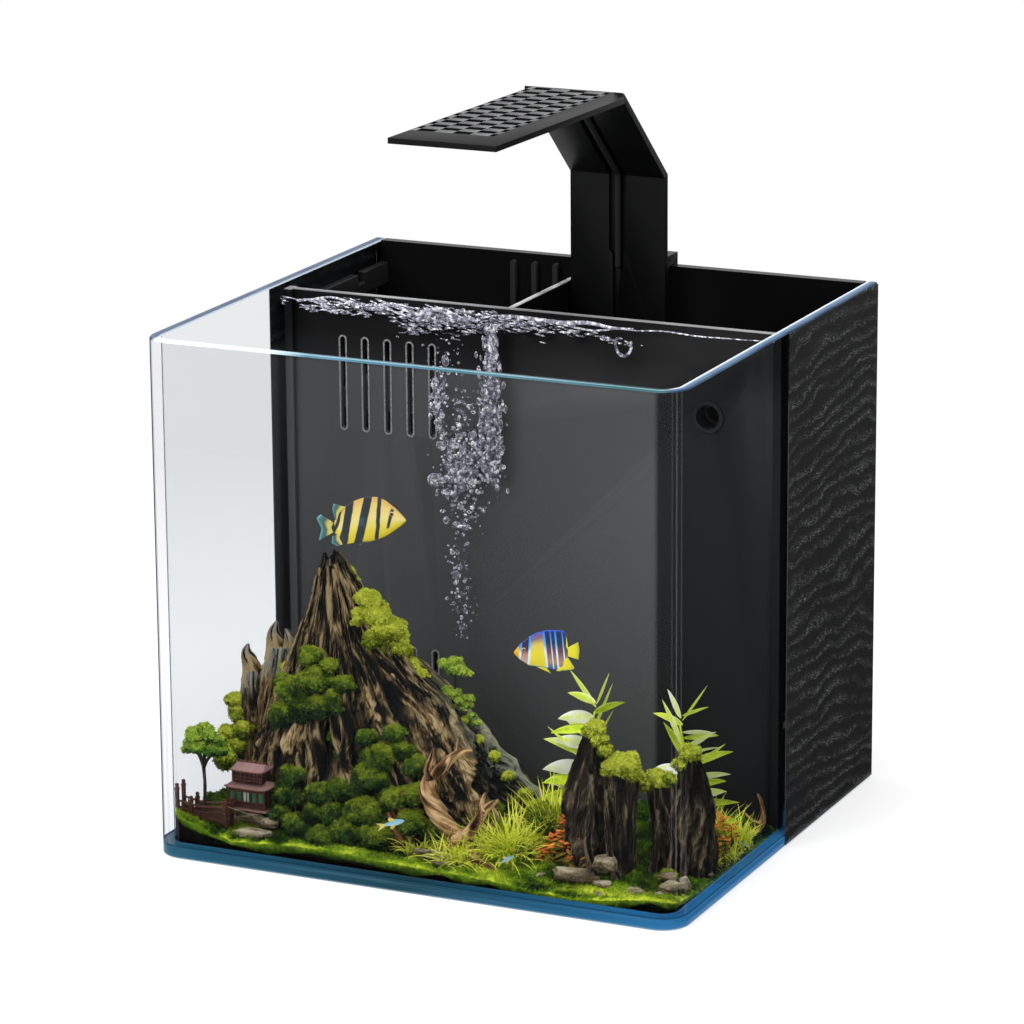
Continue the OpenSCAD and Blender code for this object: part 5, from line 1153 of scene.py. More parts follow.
def stone(heap, x, y, z, size, turn, seed):
    # a broken, flat-topped stone: the hull of a few points, split and roughened
    chance = random.Random(seed)
    shape = bmesh.new()
    for _ in range(13):
        yaw, rise, out = chance.uniform(0, 6.28), chance.uniform(-0.9, 0.9), chance.uniform(0.85, 1.05)
        flat = out * cos(yaw) * cos(rise), out * sin(yaw) * cos(rise)
        shape.verts.new((*flat, max(-0.6, min(0.62, out * sin(rise)))))
    hull = bmesh.ops.convex_hull(shape, input=shape.verts)
    inner = [v for v in hull["geom_interior"] if isinstance(v, bmesh.types.BMVert)]
    bmesh.ops.delete(shape, geom=inner, context="VERTS")
    bmesh.ops.bevel(shape, geom=shape.edges[:], offset=0.05, segments=1, affect="EDGES")
    bmesh.ops.triangulate(shape, faces=shape.faces[:])
    for _ in range(2):
        long = [e for e in shape.edges if e.calc_length() > 0.16]
        bmesh.ops.subdivide_edges(shape, edges=long, cuts=1, use_grid_fill=True)
        bmesh.ops.triangulate(shape, faces=shape.faces[:])
    points, faces = inOrder(*takeShape(shape))
    layers = ridges(points * (1.3, 1.3, 5.0) + seed, 3, seed)
    points = turned(points * (1 + 0.07 * layers)[:, None] * np.array(size) * 0.5, turn)
    sunlit = 0.22 * points[:, 2] / np.abs(points[:, 2]).max()
    shade = (0.5 + 0.25 * layers + sunlit).clip(0, 1)
    heap.put(points + (x, y, z), faces, ridge=shade, flow=points * 0.12 + seed, pale=0.3)


def makeStones():
    heap = Heap()
    for k, (x, y, z, *size, turn) in enumerate(stones):
        stone(heap, x, y, z, size, turn, 100 + k * 7)
    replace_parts(heap.piece("stones", "stone", "pebble_stone", smooth=False), "stones")


# each limb has its path, the points round it, its rings, its seed, and the depth and twist of its grooves
driftwood = [
    ([(32, -107, 10, 3.2), (25, -109, 17, 3.8), (14, -110, 25, 3.4), (4, -110.5, 36, 3.8), (-1.5, -110, 46, 4.0),
      (0.5, -109.5, 55, 3.0), (8, -110, 62.5, 2.3), (13.5, -110.5, 68, 1.7), (19, -110, 71.5, 1.2),
      (23.5, -109, 72, 0.6)], 40, 150, 3, 0.85, 2.6),
    ([(6, -110, 60.5, 1.9), (10.5, -109, 65, 1.4), (14, -108, 71, 0.9), (14.5, -107.5, 77, 0.4)], 20, 50, 5, 0.6,
     2.0),
    ([(0.5, -111.5, 54, 2.6), (-0.8, -112, 60, 1.8), (1.5, -111.5, 66, 1.3), (2.2, -111, 71, 0.5)], 20, 50, 7, 0.6,
     2.0),
    ([(15, -110.5, 23, 3.6), (21, -112, 27, 3.0), (28, -112, 36, 2.2), (31.5, -111.5, 42, 1.8), (36, -111, 45.5, 1.3),
      (38.5, -110.5, 48, 0.5)], 26, 90, 9, 0.7, 2.4),
    ([(31, -112, 41, 1.7), (30, -111.5, 46, 1.2), (31.5, -111, 51, 0.4)], 16, 40, 11, 0.6, 2.0),
    ([(17, -110, 22, 3.6), (27, -114, 15.5, 3.0), (36, -117, 12.5, 2.0), (42, -119, 10.5, 0.8)], 24, 60, 13, 0.7,
     2.0),
    ([(16, -109, 22, 3.4), (8, -113, 16, 2.4), (3, -116, 12, 1.0)], 20, 50, 15, 0.7, 2.0),
    ([(136, -3, 8, 1.8), (139.5, 0, 13, 1.6), (140.5, 1, 19, 1.2), (139.5, 1, 25, 0.9), (137.5, 1, 30, 0.5)], 18, 50,
     17, 0.7, 2.0),
    ([(139.5, 0, 13, 1.3), (134, -1, 16, 0.9), (131, -1, 19, 0.4)], 14, 30, 19, 0.7, 2.0)]
stump = [
    ([(-17, -107, 10, 2.6), (-19, -107.5, 18, 2.4), (-21.5, -108, 27, 3.0), (-21, -108, 34, 3.6),
      (-18.5, -108, 39, 2.8), (-16.5, -108, 45, 0.8)], 34, 90, 21, 0.8, 3.2),
    ([(-20, -108, 35, 2.0), (-22.5, -108, 38.5, 1.2), (-24, -108, 40, 0.4)], 16, 30, 23, 0.7, 2.0)]
slopeTrunk = [([(-6.5, -64, 70, 0.9), (-7.5, -64, 84, 0.7), (-7.5, -64, 99, 0.4)], 8, 20, 5, 0.3)]


def makeWood(name, table, material):
    heap = Heap()
    limbs(heap, table)
    return heap.piece(name, material, "driftwood")


def leaf(heap, base, yaw, rise, length, width, fall, shade, fold, steps, roll, tint):
    # a pointed leaf with a sunken midrib, bending down along its length
    ahead = np.array([cos(yaw), sin(yaw), 0])
    across = np.array([-sin(yaw), cos(yaw), 0])
    points, place = [], np.asarray(base, float)
    for k in range(steps + 1):
        t = k / steps
        angle = rise - fall * t
        tangent = ahead * cos(angle) + np.array([0, 0, sin(angle)])
        if k:
            place = place + tangent * (length / steps)
        normal = np.cross(tangent, across)
        wide = width * 0.5 * max(sin(pi * min(1, 0.06 + t ** 0.8 * 0.94)) ** 0.85, 0.02)
        side = across * cos(roll) + normal * sin(roll)
        lift = np.cross(tangent, side) * -wide * fold * 2
        points += [place - side * wide + lift, place, place + side * wide + lift]
    # painted light and shade across the fold: lighter edges and a darker sunken midrib
    shades = np.clip([shade + 0.18, shade - 0.12, shade + 0.05] * (steps + 1), 0, 1)
    heap.put(points, gridFaces(steps + 1, 3), shade=shades, tint=tint)


leafyPlants = {
    "heading": radians(24.8),
    "plants": ((-1, 57, -50, 87, 1.0), (1, 116, -33, 80, 0.95)),  # side, place, height and leaf size
    "leaves": [  # height share, side, rise, length, width, brightness and fall; a brightness near 0.9 paints a leaf nearly white, a painted highlight
        (0.28, 0, 0.1, 27, 11.0, 0.55, 0.45), (0.33, 1, 0.45, 18, 7.5, 0.6, 0.6), (0.4, 0, 0.3, 27, 10.5, 0.56, 0.5),
        (0.45, 0, 0.5, 22, 8.5, 0.92, 0.6),
        (0.49, 1, 0.85, 22, 6.0, 0.62, 0.3), (0.52, 0, 0.24, 24, 9.0, 0.6, 0.55), (0.56, 0, 0.42, 24, 8.5, 0.9, 0.65),
        (0.6, 0, 0.78, 29, 3.0, 0.62, 0.12),
        (0.62, 1, 0.55, 18, 7.0, 0.9, 0.6), (0.65, 0, 0.58, 27, 7.5, 0.58, 0.6), (0.69, 1, 1.1, 24, 4.5, 0.62, 0.2),
        (0.72, 0, 0.35, 21, 7.5, 0.88, 0.55),
        (0.76, 0, 0.85, 20, 6.5, 0.9, 0.6), (0.8, 1, 1.22, 28, 3.6, 0.68, 0.12), (0.84, 0, 0.18, 22, 7.0, 0.62, 0.5),
        (0.88, 0, 0.4, 20, 7.0, 0.86, 0.6),
        (0.92, 1, 0.75, 18, 5.0, 0.62, 0.7), (0.95, 0, 1.0, 24, 2.6, 0.65, 0.1), (0.97, 1, 1.3, 18, 4.0, 0.8, 0.3),
        (0.98, 0, 0.65, 16, 4.5, 0.66, 0.5)]}
grassClumps = [  # place, blades, shortest, longest, spread and brightness
    (41, -104, 13, 300, 17, 37, 1.2, 0.66), (30, -108, 13, 110, 12, 28, 1.2, 0.6),
    (55, -78, 18, 240, 18, 42, 0.8, 0.7), (66, -74, 20, 110, 16, 34, 0.7, 0.66),
    (15, -117, 12, 120, 12, 28, 1.35, 0.72), (22, -113, 12, 70, 12, 26, 1.2, 0.66),
    (124, -38, 8.5, 150, 16, 36, 0.8, 0.72), (136, -24, 8.5, 150, 12, 26, 1.1, 0.66),
    (139, -44, 8.5, 90, 8, 17, 1.0, 0.62), (49, -92, 14, 150, 12, 30, 1.0, 0.6),
    (-8, -111, 12, 60, 10, 22, 1.3, 0.62), (132, -60, 9, 70, 8, 18, 1.1, 0.62)]
redPlants = [  # place and height of the tip
    (72, -104, 12, 35), (76, -108, 12, 31), (83, -107, 12, 37), (66, -108, 11, 27), (89, -110, 12, 28),
    (61, -107, 11, 24), (79, -112, 12, 24),
    (70, -98, 12, 41), (64, -100, 12, 30), (74, -99, 12, 33), (136, -46, 8, 34), (139, -38, 8, 26), (134, -54, 8, 36),
    (140, -54, 8, 25), (138, -62, 8, 21)]
bonsai = {
    "place": (-130, -116),
    "crown": [  # offset, height, radius and brightness of the blobs beside those at the branch ends; the brightness is painted light
        (-7, 0, 57, 3.8, 0.66), (8, 0, 57, 3.6, 0.52), (0, 2, 66, 4.2, 0.75), (-4.5, 0, 63.5, 4.2, 0.78),
        (4.5, 0, 63, 4.2, 0.66),
        (10, 0, 60.5, 2.6, 0.6), (-9, 0, 53, 2.6, 0.6), (3, -2, 57, 3.5, 0.36), (-2.5, -2, 55.5, 3.4, 0.4),
        (11.8, 0, 62.2, 1.4, 0.7)],
    "slopeBush": [  # the small bush on the mountain's slope, with its trailing lower branch
        (-7.5, -64, 100, 4.4, 0.85), (-12.5, -64, 100.5, 3.4, 0.85), (-2.5, -64, 99, 3.2, 0.8),
        (-7, -64, 104, 3.0, 0.95), (-10, -62, 96.5, 2.6, 0.6), (-14.5, -64, 102.5, 2.2, 0.9),
        (1.0, -64, 97.5, 2.0, 0.8),
        (-9, -64, 86, 3.2, 0.85), (-5, -64, 83, 3.0, 0.8), (-1, -64, 80, 3, 0.8), (-12, -64, 87.5, 2.4, 0.85),
        (1, -64, 84.5, 2.2, 0.85), (2.5, -65, 75, 2.2, 0.75), (6, -66, 72, 2.2, 0.8)]}


def makeLeafyPlants():
    heap = Heap()
    chance = random.Random(5)
    right = leafyPlants["heading"]
    for side, x, y, top, size in leafyPlants["plants"]:
        headings = (right + pi, right) if side < 0 else (right, right + pi)
        lean = 9 * -side
        for offset in (0, 5.5):
            height = top - offset * 3
            limb(heap, [(x - side * offset, y + offset, 9, 0.8),
                        (x - side * offset * 0.6 + lean * 0.15, y + offset, height * 0.45, 0.75),
                        (x + lean, y + offset * 0.5, height - 6, 0.45)], 8, 24, 3, 0.1, 1.0, shade=0.55, tint=0.5)
        for share, kind, rise, length, width, tone, fall in leafyPlants["leaves"]:
            yaw = headings[kind] + chance.uniform(-0.45, 0.45)
            base = (x + lean * share, y + chance.uniform(-1, 3), top * share)
            leaf(heap, base, yaw, rise, length * size, width * size, fall, tone, 0.2, 9,
                 chance.uniform(-1.1, -0.45), chance.random())
    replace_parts(heap.piece("leafyPlants", "broadLeaf", "green_leaves"), "leafy_plants")


def makeGrass():
    heap = Heap()
    chance = random.Random(9)
    for x, y, z, count, shortest, longest, spread, tone in grassClumps:
        for _ in range(count):
            yaw, lean = chance.uniform(0, 6.28), abs(chance.gauss(0, 0.42)) * spread
            base = (x + chance.gauss(0, 3.2), y + chance.gauss(0, 2.4), z - 2 + chance.uniform(0, 1.5))
            leaf(heap, base, yaw, pi / 2 - min(lean, 1.35), chance.uniform(shortest, longest),
                 chance.uniform(0.6, 1.05), chance.uniform(0.4, 1.5) * spread * 0.9,
                 tone + chance.uniform(-0.3, 0.25), 0.3, 6, 0.0, chance.random())
    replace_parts(heap.piece("grassClumps", "grass", "yellow_grass", lowest=6.8), "grass_clumps")


def makeRedPlants():
    heap = Heap()
    chance = random.Random(12)
    for x, y, z, top in redPlants:
        stem = [(x, y, z - 4, 0.5), (x + chance.uniform(-1, 1), y, top - 2, 0.25)]
        limb(heap, stem, 6, 8, 3, 0.1, 1.0, shade=0.15, tint=0.5)
        count = int((top - z) * 1.7)
        for k in range(count):
            share = ((k + 0.5) / count) ** 0.75
            crown = max(0.0, (share - 0.72) / 0.28)
            base = (x + chance.gauss(0, 0.5), y + chance.gauss(0, 0.5), z + (top - z) * (share * 0.92))
            leaf(heap, base, k * 2.4 + chance.uniform(-0.5, 0.5), 0.15 + 0.75 * crown + chance.uniform(-0.35, 0.35),
                 chance.uniform(5.0, 7.4) * (1.05 - 0.3 * share), chance.uniform(1.9, 3.0), 0.8,
                 0.14 + 0.22 * share + 0.48 * crown + chance.uniform(-0.14, 0.14), 0.2, 4, 0.0, chance.random())
    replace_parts(heap.piece("redPlants", "redLeaf", "red_leaves"), "red_plants")


def makeBonsai():
    wood, crown = Heap(), Heap()
    chance = random.Random(21)
    x, y = bonsai["place"]
    limb(wood, [(x - 0.5, y, 16, 1.5), (x, y, 24, 1.0), (x + 0.6, y, 35, 0.85), (x, y, 45, 0.9)], 14, 40, 3, 0.3)
    blobs = []
    for k in range(9):
        out, high = 3 + 6.5 * (k % 3) / 2, 58 + 6 * ((k * 5) % 4) / 3 - (k % 3) * 2.2
        end = (x + out * cos(k * 2.4), y + out * 0.7 * sin(k * 2.4), high)
        bend = (x + 0.35 * (end[0] - x), y + 0.35 * (end[1] - y), 50, 0.5)
        limb(wood, [(x, y, 44, 0.7), bend, (*end, 0.15)], 8, 16, k, 0.2)
        # painted top light: higher blobs are painted brighter
        blobs.append((*end, chance.uniform(3.2, 4.6), 0.5 + 0.03 * (high - 55)))
    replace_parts(wood.piece("bonsaiWood", "bark", "driftwood"), "bonsai")
    blobs += [(x + dx, y + dy, *more) for dx, dy, *more in bonsai["crown"]]
    for seed, flat, group in ((300, 0.62, blobs), (340, 0.6, bonsai["slopeBush"])):
        for k, place in enumerate(group):
            blob(crown, *place, seed + k, flat=flat, level=2, rough=0.5)
    leaves = crown.piece("treeLeaves", "crown", "green_leaves")
    scatter("treeTufts", leaves, tuft, "crown", "green_leaves", 1.9, 8, 0.4, 0.8, 0.9)
    makeWood("slopeTrunk", slopeTrunk, "bark")


pagoda = {  # offsets from the tower's middle, in mm
    "middle": (-106.3, -106.7),
    "floors": [  # half width, half depth, foot, head and tone
        (12.3, 8.2, 23.4, 24.6, 0.62), (11.3, 7.4, 24.4, 26.6, 0.25), (10.2, 6.4, 26.5, 35.6, 0.12),
        (10.8, 7.0, 34.8, 35.8, 0.25),
        (8.4, 5.0, 37.6, 44.6, 0.12), (9.0, 5.6, 44.0, 44.8, 0.25), (7.8, 0.5, 47.6, 48.4, 0.5)],
    "rails": [  # half width, front and back offset, foot, head and tone
        (10.8, -7.3, -6.8, 27.9, 28.3, 0.38), (10.8, -7.3, -6.8, 33.3, 33.9, 0.38),
        *((9.0, -5.8, -5.2, z, z + 0.5, 0.36) for z in (39.2, 40.9, 43.4))],
    "posts": [  # how many, first, step, half width, front and back offset, foot, head and tone
        (6, -10.6, 4.24, 0.45, -7.2, -6.4, 26.4, 35.4, 0.32), (14, -10, 1.54, 0.12, -7.15, -6.9, 26.6, 28.0, 0.4),
        (8, -8.6, 2.46, 0.3, -5.6, -5.0, 38.2, 44.4, 0.32)],
    "panels": ((-9.7, -7.2, 0.82), (-5.6, -3.2, 0.82), (3.4, 5.4, 0.82), (7.2, 9.6, 0.82), (-2.0, -0.3, 0.95),
               (0.5, 2.2, 0.95)),
    "roofs": [  # eaves, ridge, width, depth, tone, share of the width the ridge takes and lift of the corners; the rosy roof tone is a painted highlight
        (35.6, 38.8, 24.6, 17.0, 0.68, 0.75, 0.8), (44.6, 48.2, 19.4, 13.2, 0.72, 0.86, 0.6)],
    "finials": (-7.6, -2.6, 2.6, 7.6)}
footbridge = {
    "left": -142.8, "right": -112.6, "front": -123.4, "back": -116.2, "bays": 22,
    "posts": [(-142.2, 36.6), (-134.0, 30.6), (-113.6, 30.8)],
    "beams": ((0, 1.1, 0.3), (2.2, 0.5, 0.4), (5.2, 0.8, 0.45)),  # lift, thickness and tone
    "arch": -121.8, "archReach": 8.0, "archFoot": 15.0, "archStones": 16, "wallSteps": 60, "wallHalf": 0.35}


def block(heap, low, high, tone, turn=0.0, about=None):
    corners = np.array(list(itertools.product((0.0, 1.0), repeat=3)))
    points = np.array(low) + corners * (np.array(high) - np.array(low))
    if turn:
        middle = np.array(about) if about else points.mean(axis=0)
        points = turned(points - middle, turn, 2) + middle
    heap.put(points, [(0, 1, 3, 2), (4, 6, 7, 5), (0, 4, 5, 1), (2, 3, 7, 6), (0, 2, 6, 4), (1, 5, 7, 3)], tone=tone)


def roof(heap, x, y, low, high, wide, deep, tone, ridgeShare, lift):
    # a hipped roof with hollow slopes, raised corners and rows of tiles
    columns, rows = 73, 41
    u, v = np.meshgrid(np.linspace(-1, 1, columns), np.linspace(-1, 1, rows))
    flatU = ((np.abs(u) - ridgeShare) / (1 - ridgeShare)).clip(0, 1)
    slope = np.maximum(flatU, np.abs(v))
    tiles = np.where(np.abs(v) >= flatU, np.abs(np.sin(u * 40)), np.abs(np.sin(v * 22)))
    z = high - (high - low) * slope ** 0.62
    z += lift * (np.abs(u) * np.abs(v)) ** 6
    z += 0.22 * tiles * (slope > 0.06)
    top = np.stack([x + u * wide / 2, y + v * deep / 2, z], 2).reshape(-1, 3)
    under = top.copy()
    under[:, 2] = np.minimum(under[:, 2] - 0.7, low + 0.15 + (under[:, 2] - low) * 0.3)
    # the grooves between the tile rows are painted a little darker: painted shade
    heap.put(top, gridFaces(rows, columns), tone=np.where(tiles.ravel() > 0.35, tone, tone - 0.05))
    heap.put(under, [f[::-1] for f in gridFaces(rows, columns)], tone=0.1)
    edge = gridRim(rows, columns)
    heap.put(np.vstack([under[edge], top[edge]]), gridFaces(2, len(edge), True), tone=0.5)


def finial(heap, x, y, z, radius, tone=0.3):
    points, faces = ball[2]
    heap.put(points * radius + (x, y, z), faces, tone=tone)


def makePagoda():
    heap = Heap()
    x, y = pagoda["middle"]

    def put(left, right, front, back, foot, head, tone):
        block(heap, (x + left, y + front, foot), (x + right, y + back, head), tone)

    for half, deep, *rest in pagoda["floors"]:
        put(-half, half, -deep, deep, *rest)
    for half, *rest in pagoda["rails"]:
        put(-half, half, *rest)
    for count, first, step, half, *rest in pagoda["posts"]:
        for k in range(count):
            put(first + k * step - half, first + k * step + half, *rest)
    for k in range(4):
        front = k * 4.0 - 6.2
        for left, right in ((10.0, 10.7), (-10.7, -10.0)):
            put(left, right, front - 0.4, front + 0.4, 26.4, 35.4, 0.32)
    for left, right, tone in pagoda["panels"]:
        put(left, right, -6.7, -6.3, 28.2, 33.2, tone)
    for shape in pagoda["roofs"]:
        roof(heap, x, y, *shape)
    for dx in pagoda["finials"]:
        finial(heap, x + dx, y, 48.3, 0.75)
    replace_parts(heap.piece("pagoda", "ornament", "painted_ornament", smooth=False), "pagoda")


def deckHeight(x):
    # the deck dips a little towards the right-hand post
    t = (x - footbridge["left"]) / (footbridge["right"] - footbridge["left"])
    return 21.4 - 1.6 * sin(pi * min(1, t * 1.15)) + 0.6 * (1 - t)


def archWall(heap, y):
    # a side wall with the arch, one column of wall for each step across, and the stones round its opening
    left, right, steps, half = (footbridge[key] for key in ("left", "right", "wallSteps", "wallHalf"))
    arch, reach, foot, count = (footbridge[key] for key in ("arch", "archReach", "archFoot", "archStones"))
    points, faces = [], []
    for k in range(steps + 1):
        px = left + (right - left) * k / steps
        away = abs(px - arch) / reach
        low = foot + (4.4 * sqrt(1 - away ** 2) if away < 1 else 0)
        low, high = min(low, deckHeight(px) - 1.2), deckHeight(px) + 0.2
        points += [(px, y - half, low), (px, y - half, high), (px, y + half, high), (px, y + half, low)]
    for a in range(0, steps * 4, 4):
        faces += [(a + m, a + 4 + m, a + 4 + (m + 1) % 4, a + (m + 1) % 4) for m in range(4)]
    heap.put(points, faces + [(0, 1, 2, 3), tuple(steps * 4 + m for m in (3, 2, 1, 0))], tone=0.26)
    for k in range(count):
        c, s = cos(pi * k / count), sin(pi * k / count)
        px, pz = arch + (reach + 0.25) * c, foot + 4.75 * s
        turn = atan2(4.75 * c, -reach * s)
        block(heap, (px - 0.95, y - 0.55, pz - 0.3), (px + 0.95, y + 0.55, pz + 0.3), 0.46, turn)


def makeBridge():
    heap = Heap()
    left, right, front, back, bays = (footbridge[key] for key in ("left", "right", "front", "back", "bays"))
    spans = [left + (right - left) * k / bays for k in range(bays + 1)]
    for y in (front, back):
        for a, b in zip(spans, spans[1:]):
            z = deckHeight(a)
            slope = atan2(deckHeight(b) - z, b - a)
            for lift, thick, tone in footbridge["beams"]:
                low, high = (a - 0.05, y - 0.45, z + lift), (b + 0.05, y + 0.45, z + lift + thick)
                block(heap, low, high, tone, slope, (a, y, z + lift))
            block(heap, (a + 0.3, y - 0.22, z + 0.9), (a + 0.62, y + 0.22, z + 5.4), 0.28)
            block(heap, (a + 0.95, y - 0.12, z + 1.0), (a + 1.15, y + 0.12, z + 2.3), 0.28)
        for px, top in footbridge["posts"]:
            block(heap, (px - 0.85, y - 0.85, deckHeight(px) - 6), (px + 0.85, y + 0.85, top - 2.0), 0.3)
            block(heap, (px - 1.05, y - 1.05, top - 3.4), (px + 1.05, y + 1.05, top - 2.6), 0.42)
            finial(heap, px, y, top - 0.9, 1.15, 0.42)
    for a, b in zip(spans, spans[1:]):
        block(heap, (a, front, deckHeight(a) - 0.2), (b, back, deckHeight(a) + 0.5), 0.25)
    for y in (front - 0.3, back + 0.3):
        archWall(heap, y)
    bridge = heap.piece("footbridge", "ornament", "painted_ornament", smooth=False)
    straighten(bridge)
    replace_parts(bridge, "footbridge")


makeStones()
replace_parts(makeWood("driftwood", driftwood, "bareWood"), "driftwood")
makeWood("stump", stump, "redwood")
makeLeafyPlants()
makeGrass()
makeRedPlants()
makeBonsai()
makePagoda()
makeBridge()
print("plants and buildings made")

# fish: outlines as share of length and height, the eye as share of length, height and radius, and fins as a root
# line, a tip line and the number that picks their colour
fishKinds = {
    "tiger": {
        "length": 37.5, "thick": 4.2, "eye": (0.19, 3.6, 1.25),
        "top": [(0, 0.3), (0.04, 2.4), (0.13, 6.0), (0.26, 10.1), (0.37, 12.1), (0.53, 12.3), (0.68, 10.3),
                (0.81, 7.6), (0.87, 4.4), (0.93, 0.6), (1, -0.8)],
        "bottom": [(0, -0.5), (0.05, -2.4), (0.13, -4.6), (0.26, -8), (0.37, -9.7), (0.53, -10.8), (0.68, -11.5),
                   (0.81, -12.2), (0.87, -11.5), (0.93, -6.6), (1, -6.0)],
        "fins": [([(-17.5, -1.0), (-18.6, -3.6), (-17.8, -6.0)], [(-24.0, 3.3), (-26.0, 1.4), (-23.5, -4.0),
                (-25.0, -10.2)], 1.0),
                 ([(-11.6, 7.0), (-14.6, 4.0), (-15.8, 0.4)], [(-17.4, 8.8), (-18.0, 6.0), (-16.6, 0.6)], 1.4),
                 ([(-14.6, -6.8), (-14.4, -9.0), (-13.2, -12.2)], [(-18.2, -8.2), (-18.6, -11.6), (-15.6, -13.2)],
                  1.4),
                 ([(4.0, -9.8), (1.0, -10.4)], [(-4.6, -12.4), (-4.9, -12.8)], 1.0)]},
    "angel": {
        "length": 28.5, "thick": 3.0, "eye": (0.18, 1.5, 1.1),
        "top": [(0, 0), (0.11, 4.2), (0.28, 8.3), (0.43, 10.6), (0.6, 11.7), (0.75, 11.8), (0.92, 11.4), (0.97, 8.6),
                (1.0, 2.4)],
        "bottom": [(0, -1), (0.11, -4.2), (0.25, -7), (0.34, -7.9), (0.58, -9.0), (0.75, -10), (0.92, -10.8),
                   (0.97, -8), (1.0, -2.8)],
        "fins": [([(-14.0, 2.0), (-14.2, -2.6)], [(-19.6, 5.2), (-20.3, 1.0), (-19.8, -4.6)], 1.0),
                 ([(-13.6, -3.4), (-8.0, -10.4)], [(-14.6, -4.0), (-17.6, -9.0), (-17.4, -9.8), (-9.0, -10.9)], 1.0),
                 ([(2.4, -8.2), (-2.6, -8.8)], [(-4.8, -11.8), (-5.4, -12.0)], 1.0)]},
    "small": {
        "length": 9.5, "thick": 1.1, "eye": (0.15, 0.2, 0.32),
        "top": [(0, 0), (0.12, 0.9), (0.35, 1.5), (0.65, 1.2), (1, 0.5)],
        "bottom": [(0, -0.3), (0.12, -1.0), (0.35, -1.5), (0.65, -1.1), (1, -0.5)],
        "fins": [([(-4.4, 0.5), (-4.4, -0.5)], [(-8.0, 1.8), (-6.6, 0.0), (-8.0, -2.0)], 1.0),
                 ([(1.0, 1.2), (-1.6, 1.0)], [(-1.4, 3.0), (-2.6, 2.0)], 1.0),
                 ([(0.5, -1.2), (-1.6, -1.0)], [(-1.6, -3.0), (-2.6, -2.0)], 1.0)]},
}
rightward, leftward = radians(24.8), radians(24.8) + pi
shoal = {  # kind, place, yaw, scale and pitch
    "bandedFish": ("tiger", (-49.6, -78.2, 178.8), rightward, 1.04, 0.0),
    "blueFish": ("angel", (54.4, -91.2, 123.8), leftward, 0.97, 0.0),
    "smallFishLeft": ("small", (-17.5, -118, 30.0), rightward, 1.15, 0.25),
    "smallFishMiddle": ("small", (47.5, -119, 19.6), rightward, 0.8, 0.5),
    "smallFishRight": ("small", (140.6, -27, 11.5), leftward, 0.6, 0.5),
}


def finSheet(heap, root, tip, tone, columns=26, steps=7):
    # a fin runs from its root line to its tip line, with fine rays
    spots = np.linspace(0, 1, columns)
    a, b = (np.stack([np.interp(spots, np.linspace(0, 1, len(line)), values) for values in zip(*line)], 1)
            for line in (root, tip))
    sheet, along = [], []
    for side in (1, -1):
        for k in range(steps + 1):
            share = k / steps
            flat = a + (b - a) * share
            ray = 0.1 * np.cos(spots * 60) * share
            sheet.append(np.stack([flat[:, 0], ray + side * (0.28 * (1 - share) + 0.03), flat[:, 1]], 1))
            along.append(np.full(columns, share))
    front, edge = gridFaces(steps + 1, columns), gridRim(steps + 1, columns)
    count = (steps + 1) * columns
    faces = [f[::-1] for f in front] + [tuple(count + i for i in f) for f in front]
    faces += [(i, j, count + j, count + i) for i, j in zip(edge, edge[1:] + edge[:1])]
    heap.put(np.concatenate(sheet), faces, along=np.concatenate(along), high=np.tile(spots * 2 - 1, 2 * (steps + 1)),
             part=tone)


def makeFish(name, kind, place, yaw, scale, pitch, rows=64, around=36):
    # the body is a loft from mouth to tail root; the mouth points along +x before turning
    shape = fishKinds[kind]
    heap = Heap()
    t = np.linspace(0, 1, rows) ** 1.15
    top, bottom = (np.interp(t, *zip(*shape[side])) for side in ("top", "bottom"))
    middle, half = (top + bottom) / 2, np.maximum((top - bottom) / 2, 0.12)
    thick = shape["thick"] * (np.sin(pi * (0.03 + 0.97 * t ** 0.75)) ** 0.75 * 0.85 + 0.12 * (1 - t))
    tt, aa = np.meshgrid(t, np.linspace(0, 2 * pi, around, endpoint=False), indexing="ij")
    y = np.sin(aa) * np.abs(np.sin(aa)) ** 0.25 * thick[:, None] * 0.5
    points = np.stack([(0.5 - tt) * shape["length"], y, middle[:, None] + np.cos(aa) * half[:, None]], 2)
    faces = [f[::-1] for f in gridFaces(rows, around, True) + ends(around, (rows - 1) * around)]
    heap.put(points.reshape(-1, 3), faces, along=tt.ravel(), high=np.cos(aa).ravel(), part=0.0)
    for fin in shape["fins"]:
        finSheet(heap, *fin)
    share, high, radius = shape["eye"]
    wide = float(np.interp(share, t, thick)) * 0.5
    points, faces = ball[3]
    for side in (1, -1):
        spot = np.array([(0.5 - share) * shape["length"], side * (wide * 0.8), high])
        look = (points[:, 1] * side).clip(0, 1)
        heap.put(points * (radius, radius * 0.5, radius) + spot, faces, along=look, high=0.0, part=3.0)
    heap.points = [turned(turned(group, pitch, 2) * scale, yaw) + place for group in heap.points]
    straighten(heap.piece(name, kind, "painted_ornament"))


def fishSkin(name, paint):
    # the common skin: scales, eye and finish round a body colour
    p = Paint(name)
    along, high, part = p.attribute("along"), p.attribute("high"), p.attribute("part")
    eye = p.ramp(along, [(0.0, 0.55, 0.42, 0.2), (0.7, 0.75, 0.55, 0.25), (0.74, 0.01, 0.02, 0.05),
            (1.0, 0.005, 0.008, 0.02)])
    tone = p.mix(part.above(2.5, 0.1), paint(p, along, high, (1 - high) * 0.5, part.above(0.5, 0.1)), eye)
    return p.skin(tone, 0.32, 0.5, p.bump(p.cells(900.0, p.place((1, 1, 1.2))), 0.12, 0.0003))


def stripe(value, centre, width, soft=0.012):
    return 1 - (value - centre).size().above(width / 2, soft)


def most(wires):
    result = wires[0]
    for one in wires[1:]:
        result = result.maths("MAXIMUM", one)
    return result


